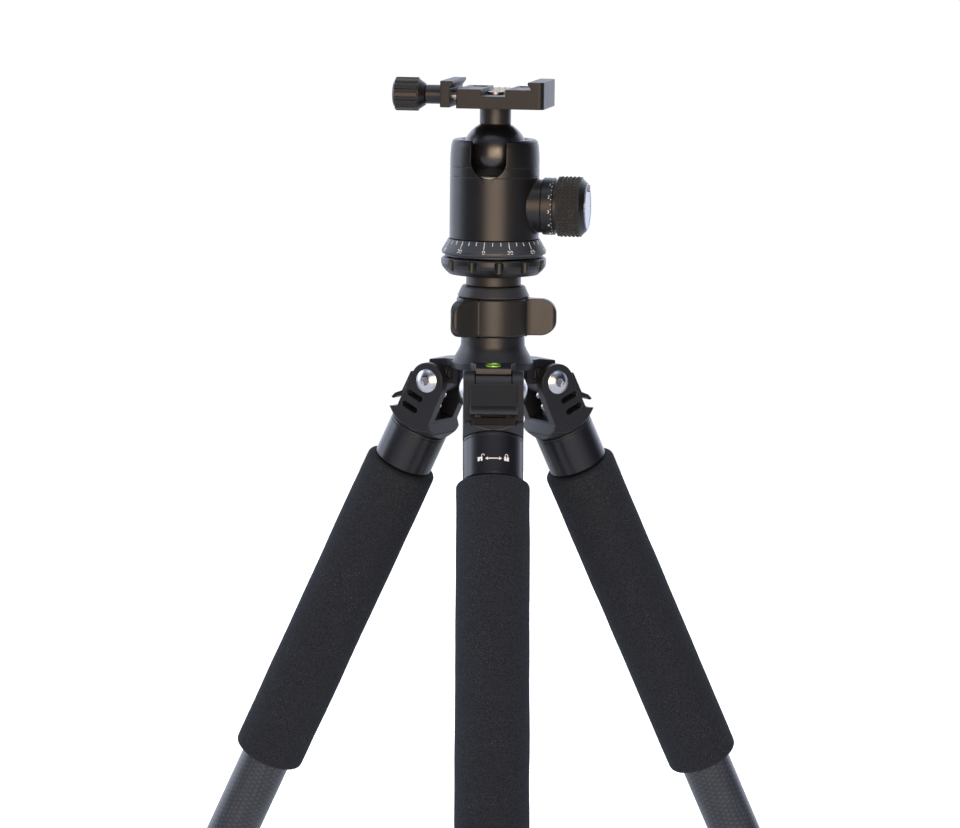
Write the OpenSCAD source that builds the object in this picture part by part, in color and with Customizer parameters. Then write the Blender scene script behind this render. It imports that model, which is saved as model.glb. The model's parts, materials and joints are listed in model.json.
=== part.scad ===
// Carbon photo tripod with a panning ball head and a quick-release clamp.
// Frame: +Z up, the column axis is X = Y = 0, the front leg points to -Y,
// and Z = 0 is the floor that the three feet stand on.

/* [Leg layout] */
// Angle of each leg from upright at the first stop
leg_angle = 26.5; // [23:0.5:29]
// Distance of each leg hinge from the column axis
hinge_r = 32.9; // [32.9:0.1:36]
// Hinge axis to the centre of the foot ball, legs collapsed
leg_length = 506; // [440:1:640]
// Hinge axis to the top of the foam grip
foam_start = 55.7; // [50:0.1:70]
// Length of the foam grip
foam_length = 197; // [120:1:300]
// Thickness of the foam on the upper tube
foam_wall = 6.0; // [3:0.1:6.4]

/* [Leg tubes] */
// Outer diameter of the upper leg tube
upper_tube_d = 28.4; // [26:0.1:28.8]
// Wall of every leg tube
tube_wall = 1.5; // [1:0.1:2.5]
// Radial clearance of each leg tube inside the one above
tube_gap = 0.08; // [0.05:0.01:0.1]
// Length of each twist lock
lock_length = 38; // [30:1:48]
// Thickness of the twist lock round its tube
lock_wall = 4.2; // [3:0.1:5]
// Radius of the foot ball
foot_r = 14; // [13:0.5:18]

/* [Leg yoke] */
// Width over both ears
yoke_width = 33.2; // [32:0.1:36]
// Gap between the ears, which holds the spider's barrel
ear_gap = 20.6; // [18:0.1:22]
// Radius of the ears round the hinge
ear_r = 10.2; // [9.8:0.1:11]
// Hinge bolt shank diameter
bolt_d = 8; // [6:0.1:9]
// Hinge bolt head diameter
bolt_head_d = 13.2; // [11:0.1:15]

/* [Spider and column] */
// Radius of the spider's hub plate
hub_plate_r = 23; // [22:0.1:25]
// Outer diameter of the centre column tube
column_d = 25; // [22:0.1:25.2]
// Wall of the centre column tube
column_wall = 1.5; // [1:0.1:2.5]
// Length of the centre column tube
column_length = 255; // [200:1:320]
// Outer radius of the column lock's body
column_lock_r = 20.5; // [19:0.1:22]
// Height of the column lock
column_lock_h = 21; // [18:0.1:26]
// Reach of the column lock's three wings
wing_reach = 35.8; // [30:0.1:40]

/* [Ball head] */
// Turn of the ball head on the column
head_turn = -10; // [-30:1:30]
// Outer radius of the ball housing
housing_r = 24.9; // [24.5:0.1:27]
// Radius of the ball
ball_r = 18.2; // [17.5:0.1:18.4]
// Radius of the stem above the ball
stem_r = 8.7; // [7:0.1:9.2]
// Width of the notch that the stem drops into
notch_w = 20; // [19:0.1:22]
// Outer radius of the panning scale's bead
dial_r = 29.1; // [28:0.1:33]
// Radius of the tension knob's grip
knob_r = 16.8; // [15:0.1:17.5]
// Length of the tension knob's grip
knob_grip_l = 12.7; // [10:0.1:20]

/* [Quick-release clamp] */
// Length of the clamp body along the screw
clamp_length = 48.8; // [45:0.1:56]
// Depth of the clamp body across the screw
clamp_depth = 45; // [38:0.5:60]
// Height of the clamp body up to the plate seat
clamp_height = 10.7; // [9:0.1:14]
// Opening between the jaws at the plate seat
jaw_opening = 45.2; // [44:0.1:48]
// Height of the jaws above the plate seat
jaw_rise = 4.3; // [3.5:0.1:6]
// Thickness of the moving jaw
jaw_thickness = 5.4; // [4.5:0.1:8]

/* [Hidden] */
$fn = 96;
running_fit = 0.05;
face_gap = 0.15;
overrun = 1;

// Leg azimuths: the front leg points to -Y
front = 0;
right = 120;
left = 240;

// Leg stations, measured down each leg from its hinge
collar_start = 30;
collar_end = foam_start - 0.2;
foot_top = leg_length - foot_r - 1;
lock_2_end = foot_top - 2;
lock_2_start = lock_2_end - lock_length;
lock_1_end = lock_2_start - 2;
lock_1_start = lock_1_end - lock_length;
lock_lip = 6;
collar_r = yoke_width / 2;

// Leg tube radii, from the outside in
upper_r = upper_tube_d / 2;
upper_bore_r = upper_r - tube_wall;
middle_r = upper_bore_r - tube_gap;
middle_bore_r = middle_r - tube_wall;
lower_r = middle_bore_r - tube_gap;
lower_bore_r = lower_r - tube_wall;
tube_start = collar_start + 2;
middle_start = 72;
lower_start = 80;

// Heights above the floor
hinge_z = leg_length * cos(leg_angle) + foot_r;
// Heights above the leg hinges
plate_top = 13.2;
plate_bottom = 8.1;
hub_bottom = -12;
sleeve_step = 26.8;
column_lock_z = sleeve_step + face_gap;
cap_z = column_lock_z + column_lock_h + face_gap;
cap_h = 6.2;
platform_z = cap_z + cap_h + 0.1;
platform_h = 6.4;
base_z = platform_z + platform_h;
base_flange_h = 4;
pan_ring_z = base_z + 0.1;
pan_ring_h = 9.4;
dial_z = base_z + 10.4;
dial_h = 9.4;
housing_z = dial_z + dial_h + face_gap;
ball_z = housing_z + 47.4;
housing_top = ball_z + 7.8;
knob_z = housing_z + 18.5;
stem_top = ball_z + 25.6;
clamp_z = stem_top;
seat_z = clamp_z + clamp_height;

// Column
column_r = column_d / 2;
column_bore_r = column_r - column_wall;
column_bottom = platform_z - column_length;
sleeve_r = 15.8;
stud_r = 4.76;

// Ball head
spigot_r = 13;
base_hub_r = 19.9;
base_flange_r = 22;
liner_r = ball_r + 1.7;
cavity_r = liner_r + running_fit;
knob_shaft_r = 4;
knob_boss_r = 14.8;
knob_boss_end = 27.6;
knob_scale_l = 6.8;
knob_neck_l = 1.8;
knob_scale_r = knob_r - 0.9;
knob_neck_r = knob_r - 1.9;
knob_start = knob_boss_end + face_gap;
knob_grip_start = knob_start + knob_scale_l + knob_neck_l;
knob_grip_end = knob_grip_start + knob_grip_l;
knob_end = knob_grip_end + 3;
dial_disc_h = 0.6;

// Clamp, in the head's own direction: X runs along the clamp screw
fixed_jaw_x = 23;
body_end_x = fixed_jaw_x + 7.2;
body_start_x = body_end_x - clamp_length;
jaw_inner_x = fixed_jaw_x - jaw_opening;
jaw_outer_x = jaw_inner_x - jaw_thickness;
jaw_top = seat_z + jaw_rise;
lip_reach = 1.8;
clamp_screw_r = 3;
screw_z = clamp_z + 6.3;
clamp_sleeve_l = 11.6;
clamp_knob_r = 9.3;
clamp_knob_l = 18.2;
clamp_knob_x = jaw_outer_x - clamp_sleeve_l;
guide_spacing = 26;
guide_r = 2;

// ---------- helpers ----------

// Points along an arc of radius r round (x, y), from angle a1 to a2
function arc(x, y, r, a1, a2, steps = 10) =
    [for (i = [0 : steps]) let (a = a1 + (a2 - a1) * i / steps) [x + r * cos(a), y + r * sin(a)]];

// A ring or disc along Z from z1 to z2
module ring(z1, z2, r_out, r_in = 0) {
    translate([0, 0, z1])
        difference() {
            cylinder(h = z2 - z1, r = r_out);
            if (r_in > 0)
                translate([0, 0, -overrun]) cylinder(h = z2 - z1 + 2 * overrun, r = r_in);
        }
}

// Places a piece on the leg at azimuth az: hinge at the origin, leg along -Z, outside at -Y
module on_leg(az) {
    rotate([0, 0, az])
        translate([0, -hinge_r, hinge_z])
            rotate([-leg_angle, 0, 0])
                children();
}

// A ring of revolution on a leg, between two stations down the leg
module leg_ring(s1, s2, r_out, r_in) {
    ring(-s2, -s1, r_out, r_in);
}

// Extrudes a side outline (Y along the outline's X, Z along its Y) across the leg, centred on X
module across(width) {
    rotate([90, 0, 90])
        linear_extrude(height = width, center = true)
            children();
}

// Places a piece at hinge height on the column axis
module at_hinges() {
    translate([0, 0, hinge_z]) children();
}

// Places a piece in the head's own direction
module on_head() {
    translate([0, 0, hinge_z]) rotate([0, 0, head_turn]) children();
}

// Lays a piece that stands along +Z down along the tension knob's axis
module on_knob_axis() {
    on_head() translate([0, 0, knob_z]) rotate([0, 90, 0]) children();
}

// Lays a piece that stands along +Z down along the clamp screw, towards the knob
module on_clamp_screw() {
    on_head() translate([0, 0, screw_z]) rotate([0, -90, 0]) children();
}

// ---------- leg pieces ----------

barrel_r = 8;
stop_r = barrel_r + 1.7;
ear_inner_y = ear_r + 1;
ear_outer_y = ear_r;
ear_end = 22;
ear_gap_end = ear_end - 2;
nose_start = 3.1;

// Side outline of the yoke above its collar
module yoke_outline() {
    polygon(concat(
        arc(0, 0, ear_r, 25, 180, 24),
        [[-ear_outer_y, -ear_end], [-collar_r, -ear_end - 4], [-collar_r, -collar_start],
         [collar_r, -collar_start], [collar_r, -ear_end - 4], [ear_inner_y + 0.8, -ear_end + 1],
         [ear_inner_y, -0.6]]
    ));
}

module leg_yoke(az) {
    slot_r = 1.4;
    slot_depth = 1.1;
    spigot_end = 62;
    color([0.07, 0.07, 0.08])
    on_leg(az)
    difference() {
        union() {
            intersection() {
                across(yoke_width) yoke_outline();
                rotate_extrude()
                    polygon([
                        [0, -collar_start], [collar_r - 0.2, -collar_start],
                        [collar_r + 8, -ear_end], [collar_r + 8, 2 * ear_r], [0, 2 * ear_r]
                    ]);
            }
            leg_ring(collar_start - 1, spigot_end, upper_bore_r - 0.02, 0);
        }
        // Hollow of the spigot
        leg_ring(collar_start - 2, spigot_end + overrun, upper_bore_r - 2.2, 0);
        // Space between the ears
        translate([-ear_gap / 2, -collar_r - overrun, -ear_gap_end])
            cube([ear_gap, 2 * collar_r + 2 * overrun, ear_end + 2 * ear_r]);
        // Hinge bore
        rotate([0, 90, 0]) cylinder(h = yoke_width + 2, r = bolt_d / 2 + running_fit, center = true);
        // Pocket below the angle tab, which a fingertip reaches into
        translate([-12.6, -collar_r - overrun, -ear_end - 4.6])
            cube([25.2, 7.4, 5]);
        // Two grooves across the outside of each ear
        for (side = [-1, 1], station = [11.2, 18.6])
            translate([side * (yoke_width / 2 + slot_r - slot_depth), 4, -station])
                rotate([90, 0, 0]) cylinder(h = 2 * ear_r, r = slot_r);
    }
}

// Angle stop: a plate on the outside of the yoke, with a nose that meets the spider's stop
// and a lip to pull it out by
module angle_tab(az) {
    plate_t = 2.8;
    plate_w = 26;
    plate_y = -ear_outer_y - 0.15;
    nose_w = ear_gap - 0.8;
    nose_y = plate_y - 0.4;
    nose_inner_y = -barrel_r - 0.3;
    tongue_z = 0.3 - ear_gap_end;
    top = -1.2;
    color([0.10, 0.10, 0.11])
    on_leg(az)
    union() {
        across(plate_w)
            polygon([
                [plate_y, top], [plate_y - plate_t + 0.6, top], [plate_y - plate_t, top - 0.6],
                [plate_y - plate_t, top - 13], [plate_y - plate_t - 3.2, top - 16.4],
                [plate_y - plate_t - 4.4, top - 19.6], [plate_y - plate_t - 2.9, top - 19.9],
                [plate_y - plate_t - 1.2, top - 17.2], [plate_y, top - 14.6]
            ]);
        translate([-nose_w / 2, nose_y, -12]) cube([nose_w, nose_inner_y - nose_y, 12 - nose_start]);
        // Tongue that slides on the floor between the ears
        translate([-6.9, nose_y, tongue_z]) cube([13.8, 9.2, 2]);
        translate([-6.9, nose_y, tongue_z]) cube([13.8, nose_inner_y - nose_y, 10]);
    }
}

module leg_collar(az) {
    color([0.07, 0.07, 0.08])
    on_leg(az)
    difference() {
        rotate_extrude()
            polygon([
                [0, -collar_start - 0.1], [collar_r - 0.5, -collar_start - 0.1], [collar_r, -collar_start - 0.6],
                [collar_r, -collar_end + 1], [collar_r - 1, -collar_end], [0, -collar_end]
            ]);
        translate([0, 0, -collar_end - overrun])
            cylinder(h = collar_end - collar_start + 2 * overrun, r = upper_r + running_fit);
    }
}

module upper_tube(az) {
    color([0.16, 0.18, 0.21])
    on_leg(az)
    leg_ring(tube_start, lock_1_end - lock_lip, upper_r, upper_bore_r);
}

module foam_grip(az) {
    foam_r = upper_r + foam_wall;
    edge = min(3, foam_wall * 0.6);
    color([0.06, 0.06, 0.06])
    on_leg(az)
    translate([0, 0, -foam_start - foam_length])
        rotate_extrude()
            difference() {
                union() {
                    translate([upper_r + 0.02, 0]) square([foam_wall - edge, foam_length]);
                    translate([upper_r + 0.02, edge]) square([foam_wall - 0.02, foam_length - 2 * edge]);
                    translate([foam_r - edge, edge]) circle(r = edge);
                    translate([foam_r - edge, foam_length - edge]) circle(r = edge);
                }
                square([upper_r + 0.02, foam_length]);
            }
}

// Twist lock: turns on the tube above it, and its lip lets the tube below through
module twist_lock(az, s1, s2, r_above, r_below) {
    r_out = r_above + lock_wall;
    color([0.09, 0.09, 0.09])
    on_leg(az)
    difference() {
        rotate_extrude()
            polygon([
                [0, -s1], [r_above + 1.2, -s1], [r_out - 0.6, -s1 - 4], [r_out, -s1 - 5.5],
                [r_out, -s2 + 3], [r_out - 1.6, -s2], [0, -s2]
            ]);
        leg_ring(s1 - overrun, s2 - lock_lip + face_gap, r_above + running_fit, 0);
        leg_ring(s1 - overrun, s2 + overrun, r_below + tube_gap, 0);
    }
}

module middle_tube(az) {
    color([0.16, 0.18, 0.21])
    on_leg(az)
    leg_ring(middle_start, lock_2_end - lock_lip, middle_r, middle_bore_r);
}

module lower_tube(az) {
    color([0.16, 0.18, 0.21])
    on_leg(az)
    leg_ring(lower_start, leg_length - foot_r * 0.3, lower_r, lower_bore_r);
}

// Rubber foot: a ball with a collar that holds the lower tube's end
module foot(az) {
    color([0.05, 0.05, 0.05])
    on_leg(az)
    difference() {
        union() {
            translate([0, 0, -leg_length]) sphere(r = foot_r);
            leg_ring(foot_top, leg_length - foot_r * 0.45, foot_r * 0.9, 0);
        }
        leg_ring(foot_top - overrun, leg_length - foot_r * 0.3, lower_r, 0);
    }
}

// ---------- spider and column ----------

// Plan of one arm of the spider, along -Y
module arm_plan(tip_y) {
    lip = ear_gap / 2 - 0.25;
    polygon([
        [-12.4, -19.5], [-lip, -24.2], [-lip, -tip_y], [lip, -tip_y],
        [lip, -24.2], [12.4, -19.5], [0, 0]
    ]);
}

module spider() {
    web_bottom = -1.2;
    flare_r = 20.2;
    color([0.08, 0.08, 0.09])
    at_hinges()
    difference() {
        union() {
            // Hub plate and sleeve, turned about the column axis
            rotate_extrude()
                polygon([
                    [0, hub_bottom], [18.2, hub_bottom], [19.2, hub_bottom + 1], [19.2, plate_bottom - 1],
                    [hub_plate_r, plate_bottom], [hub_plate_r, plate_top - 1.4], [hub_plate_r - 1, plate_top],
                    [flare_r, plate_top + 3.2], [19, plate_top + 5.2], [17.9, plate_top + 7.8],
                    [17.6, sleeve_step], [sleeve_r, sleeve_step], [sleeve_r, cap_z + 4], [0, cap_z + 4]
                ]);
            for (az = [front, right, left])
                rotate([0, 0, az]) {
                    intersection() {
                        translate([0, 0, plate_bottom])
                            linear_extrude(height = plate_top - plate_bottom) arm_plan(hinge_r + 2.3);
                        // Top of the arm falls gently to its tip
                        across(40)
                            polygon([[0, 0], [0, plate_top], [-26, plate_top - 0.4], [-hinge_r - 3, plate_top - 1.6],
                                     [-hinge_r - 3, 0]]);
                    }
                    translate([0, 0, web_bottom])
                        linear_extrude(height = plate_bottom - web_bottom + 0.5)
                            translate([-ear_gap / 2 + 0.3, -hinge_r]) square([ear_gap - 0.6, hinge_r - 14]);
                    translate([0, -hinge_r, 0])
                        rotate([0, 90, 0]) cylinder(h = ear_gap - 0.3, r = barrel_r, center = true);
                    // Stop that the angle tab's nose meets at the first leg angle
                    translate([0, -hinge_r, 0])
                        rotate([-leg_angle, 0, 0])
                            intersection() {
                                rotate([0, 90, 0]) cylinder(h = ear_gap - 0.5, r = stop_r, center = true);
                                translate([-ear_gap, -12, 0.2 - nose_start]) cube([2 * ear_gap, 12, 7.9]);
                            }
                }
        }
        // Column bore
        translate([0, 0, hub_bottom - overrun]) cylinder(h = 100, r = column_r + running_fit);
        for (az = [front, right, left])
            rotate([0, 0, az]) {
                translate([0, -hinge_r, 0])
                    rotate([0, 90, 0]) cylinder(h = 2 * ear_gap, r = bolt_d / 2, center = true);
                // Oval lightening pocket in each side of the arm
                for (side = [-1, 1])
                    translate([side * (ear_gap / 2 - 0.3), -21.8, 4.2])
                        rotate([0, 90, 0])
                            linear_extrude(height = 4, center = true) {
                                circle(r = 1.8);
                                translate([-1.2, -1.8]) square([2.4, 3.6]);
                                translate([1.2, 0]) circle(r = 1.8);
                                translate([-1.2, 0]) circle(r = 1.8);
                            }
            }
        // Socket of the bubble level
        translate([0, -27.2, plate_top - 3.4]) cylinder(h = 6, r = 4.6);
    }
}

module hinge_bolts() {
    head_h = 2.6;
    dome_r = (pow(bolt_head_d / 2, 2) + head_h * head_h) / (2 * head_h);
    hex_af = 4;
    color([0.80, 0.81, 0.83])
    at_hinges()
    for (az = [front, right, left])
        rotate([0, 0, az]) translate([0, -hinge_r, 0]) {
            rotate([0, 90, 0]) cylinder(h = yoke_width + 0.4, r = bolt_d / 2, center = true);
            for (side = [-1, 1])
                translate([side * (yoke_width / 2 + 0.1), 0, 0])
                    rotate([0, side * 90, 0])
                        difference() {
                            intersection() {
                                cylinder(h = head_h, r = bolt_head_d / 2);
                                translate([0, 0, head_h - dome_r]) sphere(r = dome_r);
                            }
                            translate([0, 0, head_h - 2.1])
                                cylinder(h = 3, r = hex_af / 2 / cos(30), $fn = 6);
                        }
        }
}

module spider_level() {
    color([0.55, 0.80, 0.20])
    at_hinges()
    translate([0, -27.2, plate_top - 3.4]) {
        cylinder(h = 3, r = 4.55);
        translate([0, 0, 3])
            intersection() {
                translate([0, 0, -12.4]) sphere(r = 13.2);
                cylinder(h = 2, r = 4.2);
            }
    }
}

module lock_cap() {
    color([0.20, 0.21, 0.23])
    at_hinges()
    difference() {
        rotate_extrude()
            polygon([
                [column_r + 0.3, cap_z], [19.4, cap_z], [20, cap_z + 0.6], [18.1, cap_z + cap_h - 0.6],
                [17.5, cap_z + cap_h], [column_r + 0.3, cap_z + cap_h]
            ]);
        translate([0, 0, cap_z - overrun]) cylinder(h = 4 + overrun, r = sleeve_r);
    }
}

// Plan of one wing of the column lock, along +X
module wing_plan() {
    tip = 2.6;
    root = 3.6;
    shoulder = [[10, root + 4], [column_lock_r - 1, root + 2], [column_lock_r + 2.6, root]];
    polygon(concat([for (p = shoulder) [p[0], -p[1]]], arc(wing_reach - tip, 0, tip, -80, 80),
                   [for (i = [2, 1, 0]) shoulder[i]]));
}

module column_lock() {
    color([0.12, 0.11, 0.11])
    at_hinges()
    difference() {
        union() {
            rotate_extrude()
                polygon([
                    [0, column_lock_z], [column_lock_r - 0.6, column_lock_z],
                    [column_lock_r, column_lock_z + 0.6], [column_lock_r, column_lock_z + column_lock_h - 0.8],
                    [column_lock_r - 0.8, column_lock_z + column_lock_h], [0, column_lock_z + column_lock_h]
                ]);
            for (turn = [-10, 110, 230])
                rotate([0, 0, turn])
                    intersection() {
                        translate([0, 0, column_lock_z - overrun])
                            linear_extrude(height = column_lock_h + 2 * overrun) wing_plan();
                        // The wing's top and bottom edges round over towards its tip
                        translate([column_lock_r + 4, 0, column_lock_z + column_lock_h / 2])
                            rotate([90, 0, 0])
                                linear_extrude(height = 40, center = true)
                                    wing_side();
                    }
        }
        translate([0, 0, column_lock_z - overrun])
            cylinder(h = column_lock_h + 2 * overrun, r = sleeve_r + running_fit);
    }
}

// Side outline of a wing: a plain band near the body, then rounded corners at the tip
module wing_side() {
    half = column_lock_h / 2 - 0.3;
    corner = 8.6;
    bend = wing_reach - column_lock_r - 4 - corner;
    polygon(concat([[-20, -half]], arc(bend, corner - half, corner, -90, 0),
                   arc(bend, half - corner, corner, 0, 90), [[-20, half]]));
}

module column_tube() {
    color([0.16, 0.18, 0.21])
    at_hinges()
    ring(column_bottom, platform_z, column_r, column_bore_r);
}

// Skirt that sits on the column tube, with a plug inside the tube
module column_platform() {
    color([0.10, 0.10, 0.10])
    at_hinges()
    difference() {
        union() {
            ring(platform_z, platform_z + platform_h, 15.35, 0);
            ring(platform_z - 18, platform_z, column_bore_r - 0.02, 0);
        }
        translate([0, 0, platform_z - 19]) cylinder(h = 40, r = stud_r);
    }
}

module column_hook() {
    wire_r = 2;
    loop_r = 9;
    plug_h = 14;
    color([0.55, 0.56, 0.58])
    at_hinges()
    translate([0, 0, column_bottom]) {
        ring(0, plug_h, column_bore_r - running_fit, 0);
        ring(-3, 0, column_r + 1.7, 0);
        ring(-9, -3, 4, 0);
        translate([0, 0, -9 - loop_r])
            rotate([90, 0, 0])
                rotate_extrude(angle = 300) translate([loop_r, 0]) circle(r = wire_r);
        translate([0, 0, -9 - loop_r])
            rotate([90, 0, 0])
                rotate([0, 0, 90])
                    translate([loop_r, 0, 0]) sphere(r = wire_r + 0.6);
    }
}

module head_stud() {
    color([0.75, 0.76, 0.78])
    at_hinges()
    ring(platform_z - 10, base_z + 8, stud_r, 1.6);
}

// ---------- ball head ----------

module head_base() {
    spigot_top = housing_z + 12;
    color([0.09, 0.09, 0.09])
    on_head()
    difference() {
        union() {
            ring(base_z, base_z + base_flange_h, base_flange_r, 0);
            ring(base_z, dial_z, base_hub_r, 0);
            ring(base_z, spigot_top, spigot_r, 0);
        }
        translate([0, 0, base_z - overrun]) cylinder(h = 9.2 + overrun, r = stud_r);
    }
}

module pan_lock_ring() {
    notch_r = 2.4;
    notch_count = 12;
    ring_r = dial_r + 0.1;
    color([0.10, 0.10, 0.10])
    on_head()
    difference() {
        rotate_extrude()
            polygon([
                [base_hub_r, pan_ring_z], [ring_r - 4.4, pan_ring_z], [ring_r - 2.2, pan_ring_z + 2],
                [ring_r - 0.5, pan_ring_z + 4.2], [ring_r, pan_ring_z + 6], [ring_r, pan_ring_z + pan_ring_h - 0.8],
                [ring_r - 0.8, pan_ring_z + pan_ring_h], [base_hub_r, pan_ring_z + pan_ring_h]
            ]);
        translate([0, 0, pan_ring_z - overrun])
            cylinder(h = base_flange_h + overrun, r = base_flange_r + running_fit);
        translate([0, 0, pan_ring_z - overrun])
            cylinder(h = pan_ring_h + 2 * overrun, r = base_hub_r + running_fit);
        for (i = [0 : notch_count - 1])
            rotate([0, 0, (i + 0.5) * 360 / notch_count])
                translate([ring_r + 0.3, 0, pan_ring_z - overrun])
                    cylinder(h = pan_ring_h + 2 * overrun, r = notch_r);
    }
}

module pan_dial() {
    cone_top_r = 25.5;
    color([0.08, 0.08, 0.08])
    on_head()
    rotate_extrude()
        polygon([
            [spigot_r + 0.02, dial_z], [dial_r - 1.7, dial_z], [dial_r - 1.7, dial_z + 1],
            [dial_r - 0.2, dial_z + 1.6], [dial_r, dial_z + 2.2], [dial_r, dial_z + 3], [dial_r - 0.2, dial_z + 3.6],
            [dial_r - 0.6, dial_z + 4.1], [cone_top_r, dial_z + dial_h], [spigot_r + 0.02, dial_z + dial_h]
        ]);
}

module pan_retainer() {
    color([0.6, 0.6, 0.62])
    on_head()
    ring(housing_z + 7.1, housing_z + 11, 16.5, spigot_r + 0.02);
}

module ball_housing() {
    floor_h = 6.9;
    lip_h = 4.6;
    groove_w = 0.5;
    groove_depth = 0.35;
    wall_r = ball_r + 0.1;
    color([0.08, 0.08, 0.08])
    on_head()
    difference() {
        union() {
            rotate_extrude()
                polygon([
                    [0, housing_z], [housing_r - 0.4, housing_z], [housing_r, housing_z + 0.4],
                    [housing_r, housing_top - 2.2], [housing_r - 0.7, housing_top - 0.6],
                    [housing_r - 1.7, housing_top], [0, housing_top]
                ]);
            translate([0, 0, knob_z]) rotate([0, 90, 0]) cylinder(h = knob_boss_end, r = knob_boss_r);
        }
        // Running bore on the head base's spigot
        translate([0, 0, housing_z - overrun]) cylinder(h = floor_h + 2 * overrun, r = spigot_r + running_fit);
        // Cavity for the seat, the liner and the ball
        translate([0, 0, housing_z + floor_h]) cylinder(h = ball_z - housing_z - floor_h, r = cavity_r);
        intersection() {
            translate([0, 0, ball_z]) sphere(r = cavity_r);
            translate([0, 0, ball_z - overrun]) cylinder(h = lip_h + overrun, r = 2 * cavity_r);
        }
        translate([0, 0, ball_z]) sphere(r = wall_r);
        // Mouth chamfer
        translate([0, 0, housing_top - 0.9]) cylinder(h = 1.8, r1 = 16.2, r2 = 18.2);
        // Notch that the stem drops into
        translate([0, 0, ball_z - 3.2]) {
            rotate([90, 0, 0]) cylinder(h = 2 * housing_r, r = notch_w / 2);
            translate([-notch_w / 2, -2 * housing_r, 0]) cube([notch_w, 2 * housing_r, 40]);
        }
        // Tension screw bore
        translate([0, 0, knob_z])
            rotate([0, 90, 0]) cylinder(h = knob_boss_end + overrun, r = knob_shaft_r + running_fit);
        // Two fine grooves round the housing
        for (z = [ball_z - 7.4, ball_z - 12.8])
            difference() {
                ring(z, z + groove_w, housing_r + 2, housing_r - groove_depth);
                translate([0, 0, knob_z]) rotate([0, 90, 0]) cylinder(h = 40, r = knob_boss_r + 0.5);
            }
    }
}

module ball_seat() {
    seat_h = 9;
    color([0.75, 0.75, 0.72])
    on_head()
    difference() {
        ring(ball_z - cavity_r - 3, ball_z - cavity_r + seat_h - 1.6, cavity_r - 0.02, 0);
        translate([0, 0, ball_z]) sphere(r = liner_r + running_fit);
        translate([0, 0, ball_z - cavity_r - 4]) cylinder(h = 10, r = 5);
    }
}

// Friction liner: a band of a sphere between the ball and its seat
module ball_liner() {
    color([0.85, 0.85, 0.82])
    on_head()
    translate([0, 0, ball_z])
        intersection() {
            difference() {
                sphere(r = liner_r);
                sphere(r = ball_r + running_fit);
            }
            translate([0, 0, -16.8]) cylinder(h = 6.2, r = 30);
        }
}

module ball() {
    neck_z = sqrt(ball_r * ball_r - stem_r * stem_r);
    color([0.06, 0.06, 0.07])
    on_head()
    translate([0, 0, ball_z])
        difference() {
            intersection() {
                sphere(r = ball_r);
                translate([0, 0, -30]) cylinder(h = 30 + neck_z, r = 30);
            }
            translate([0, 0, 2]) cylinder(h = ball_r, r = 6);
        }
}

// Stem, turned with a pivot that sits in the ball
module ball_stem() {
    neck_z = sqrt(ball_r * ball_r - stem_r * stem_r);
    color([0.10, 0.10, 0.10])
    on_head()
    difference() {
        union() {
            ring(ball_z + neck_z + 0.1, stem_top, stem_r, 0);
            ring(ball_z + 2.2, stem_top, 6 - running_fit, 0);
        }
        translate([0, 0, stem_top - 14]) cylinder(h = 20, r = 2.5);
    }
}

module tension_knob() {
    color([0.11, 0.11, 0.11])
    on_knob_axis()
    difference() {
        rotate_extrude()
            polygon([
                [0, knob_start], [knob_scale_r - 0.4, knob_start], [knob_scale_r, knob_start + 0.4],
                [knob_scale_r, knob_start + knob_scale_l - 0.4], [knob_scale_r - 0.4, knob_start + knob_scale_l],
                [knob_neck_r, knob_start + knob_scale_l], [knob_neck_r, knob_grip_end],
                [knob_r - 0.5, knob_grip_end], [knob_r - 3.4, knob_end], [0, knob_end]
            ]);
        translate([0, 0, knob_start - overrun]) cylinder(h = 12, r = knob_shaft_r);
        // Recess of the friction dial
        translate([0, 0, knob_end - 3]) cylinder(h = 4, r = knob_r - 4);
    }
}

module tension_screw() {
    color([0.7, 0.7, 0.72])
    on_knob_axis()
    union() {
        translate([0, 0, 6]) cylinder(h = knob_start + 11 - 6, r = knob_shaft_r);
        translate([0, 0, 2]) cylinder(h = 4, r1 = 1.5, r2 = knob_shaft_r);
    }
}

module knob_grip() {
    color([0.06, 0.06, 0.06])
    on_knob_axis()
    ring(knob_grip_start, knob_grip_end - 0.02, knob_r, knob_neck_r + 0.02);
}

// Friction preset disc in the end of the tension knob, with its little thumb wheel
module friction_dial() {
    disc_r = knob_r - 4 - running_fit;
    color([0.80, 0.81, 0.83])
    on_knob_axis()
    union() {
        ring(knob_end - 2.9, knob_end + dial_disc_h - 0.3, disc_r, 0);
        ring(knob_end, knob_end + dial_disc_h, disc_r - 0.3, 0);
        translate([-disc_r + 2.4, 0, knob_end]) cylinder(h = 1.6, r = 2);
    }
}

// ---------- quick-release clamp ----------

// Plate side of a jaw, from the seat up to the jaw's top: its lip leans over the plate's edge
function lip(x, side) = [
    [x + side * 0.3, seat_z], [x - side * lip_reach, jaw_top - 1.4],
    [x - side * lip_reach, jaw_top - 0.3], [x - side * (lip_reach - 0.3), jaw_top]
];

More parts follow.
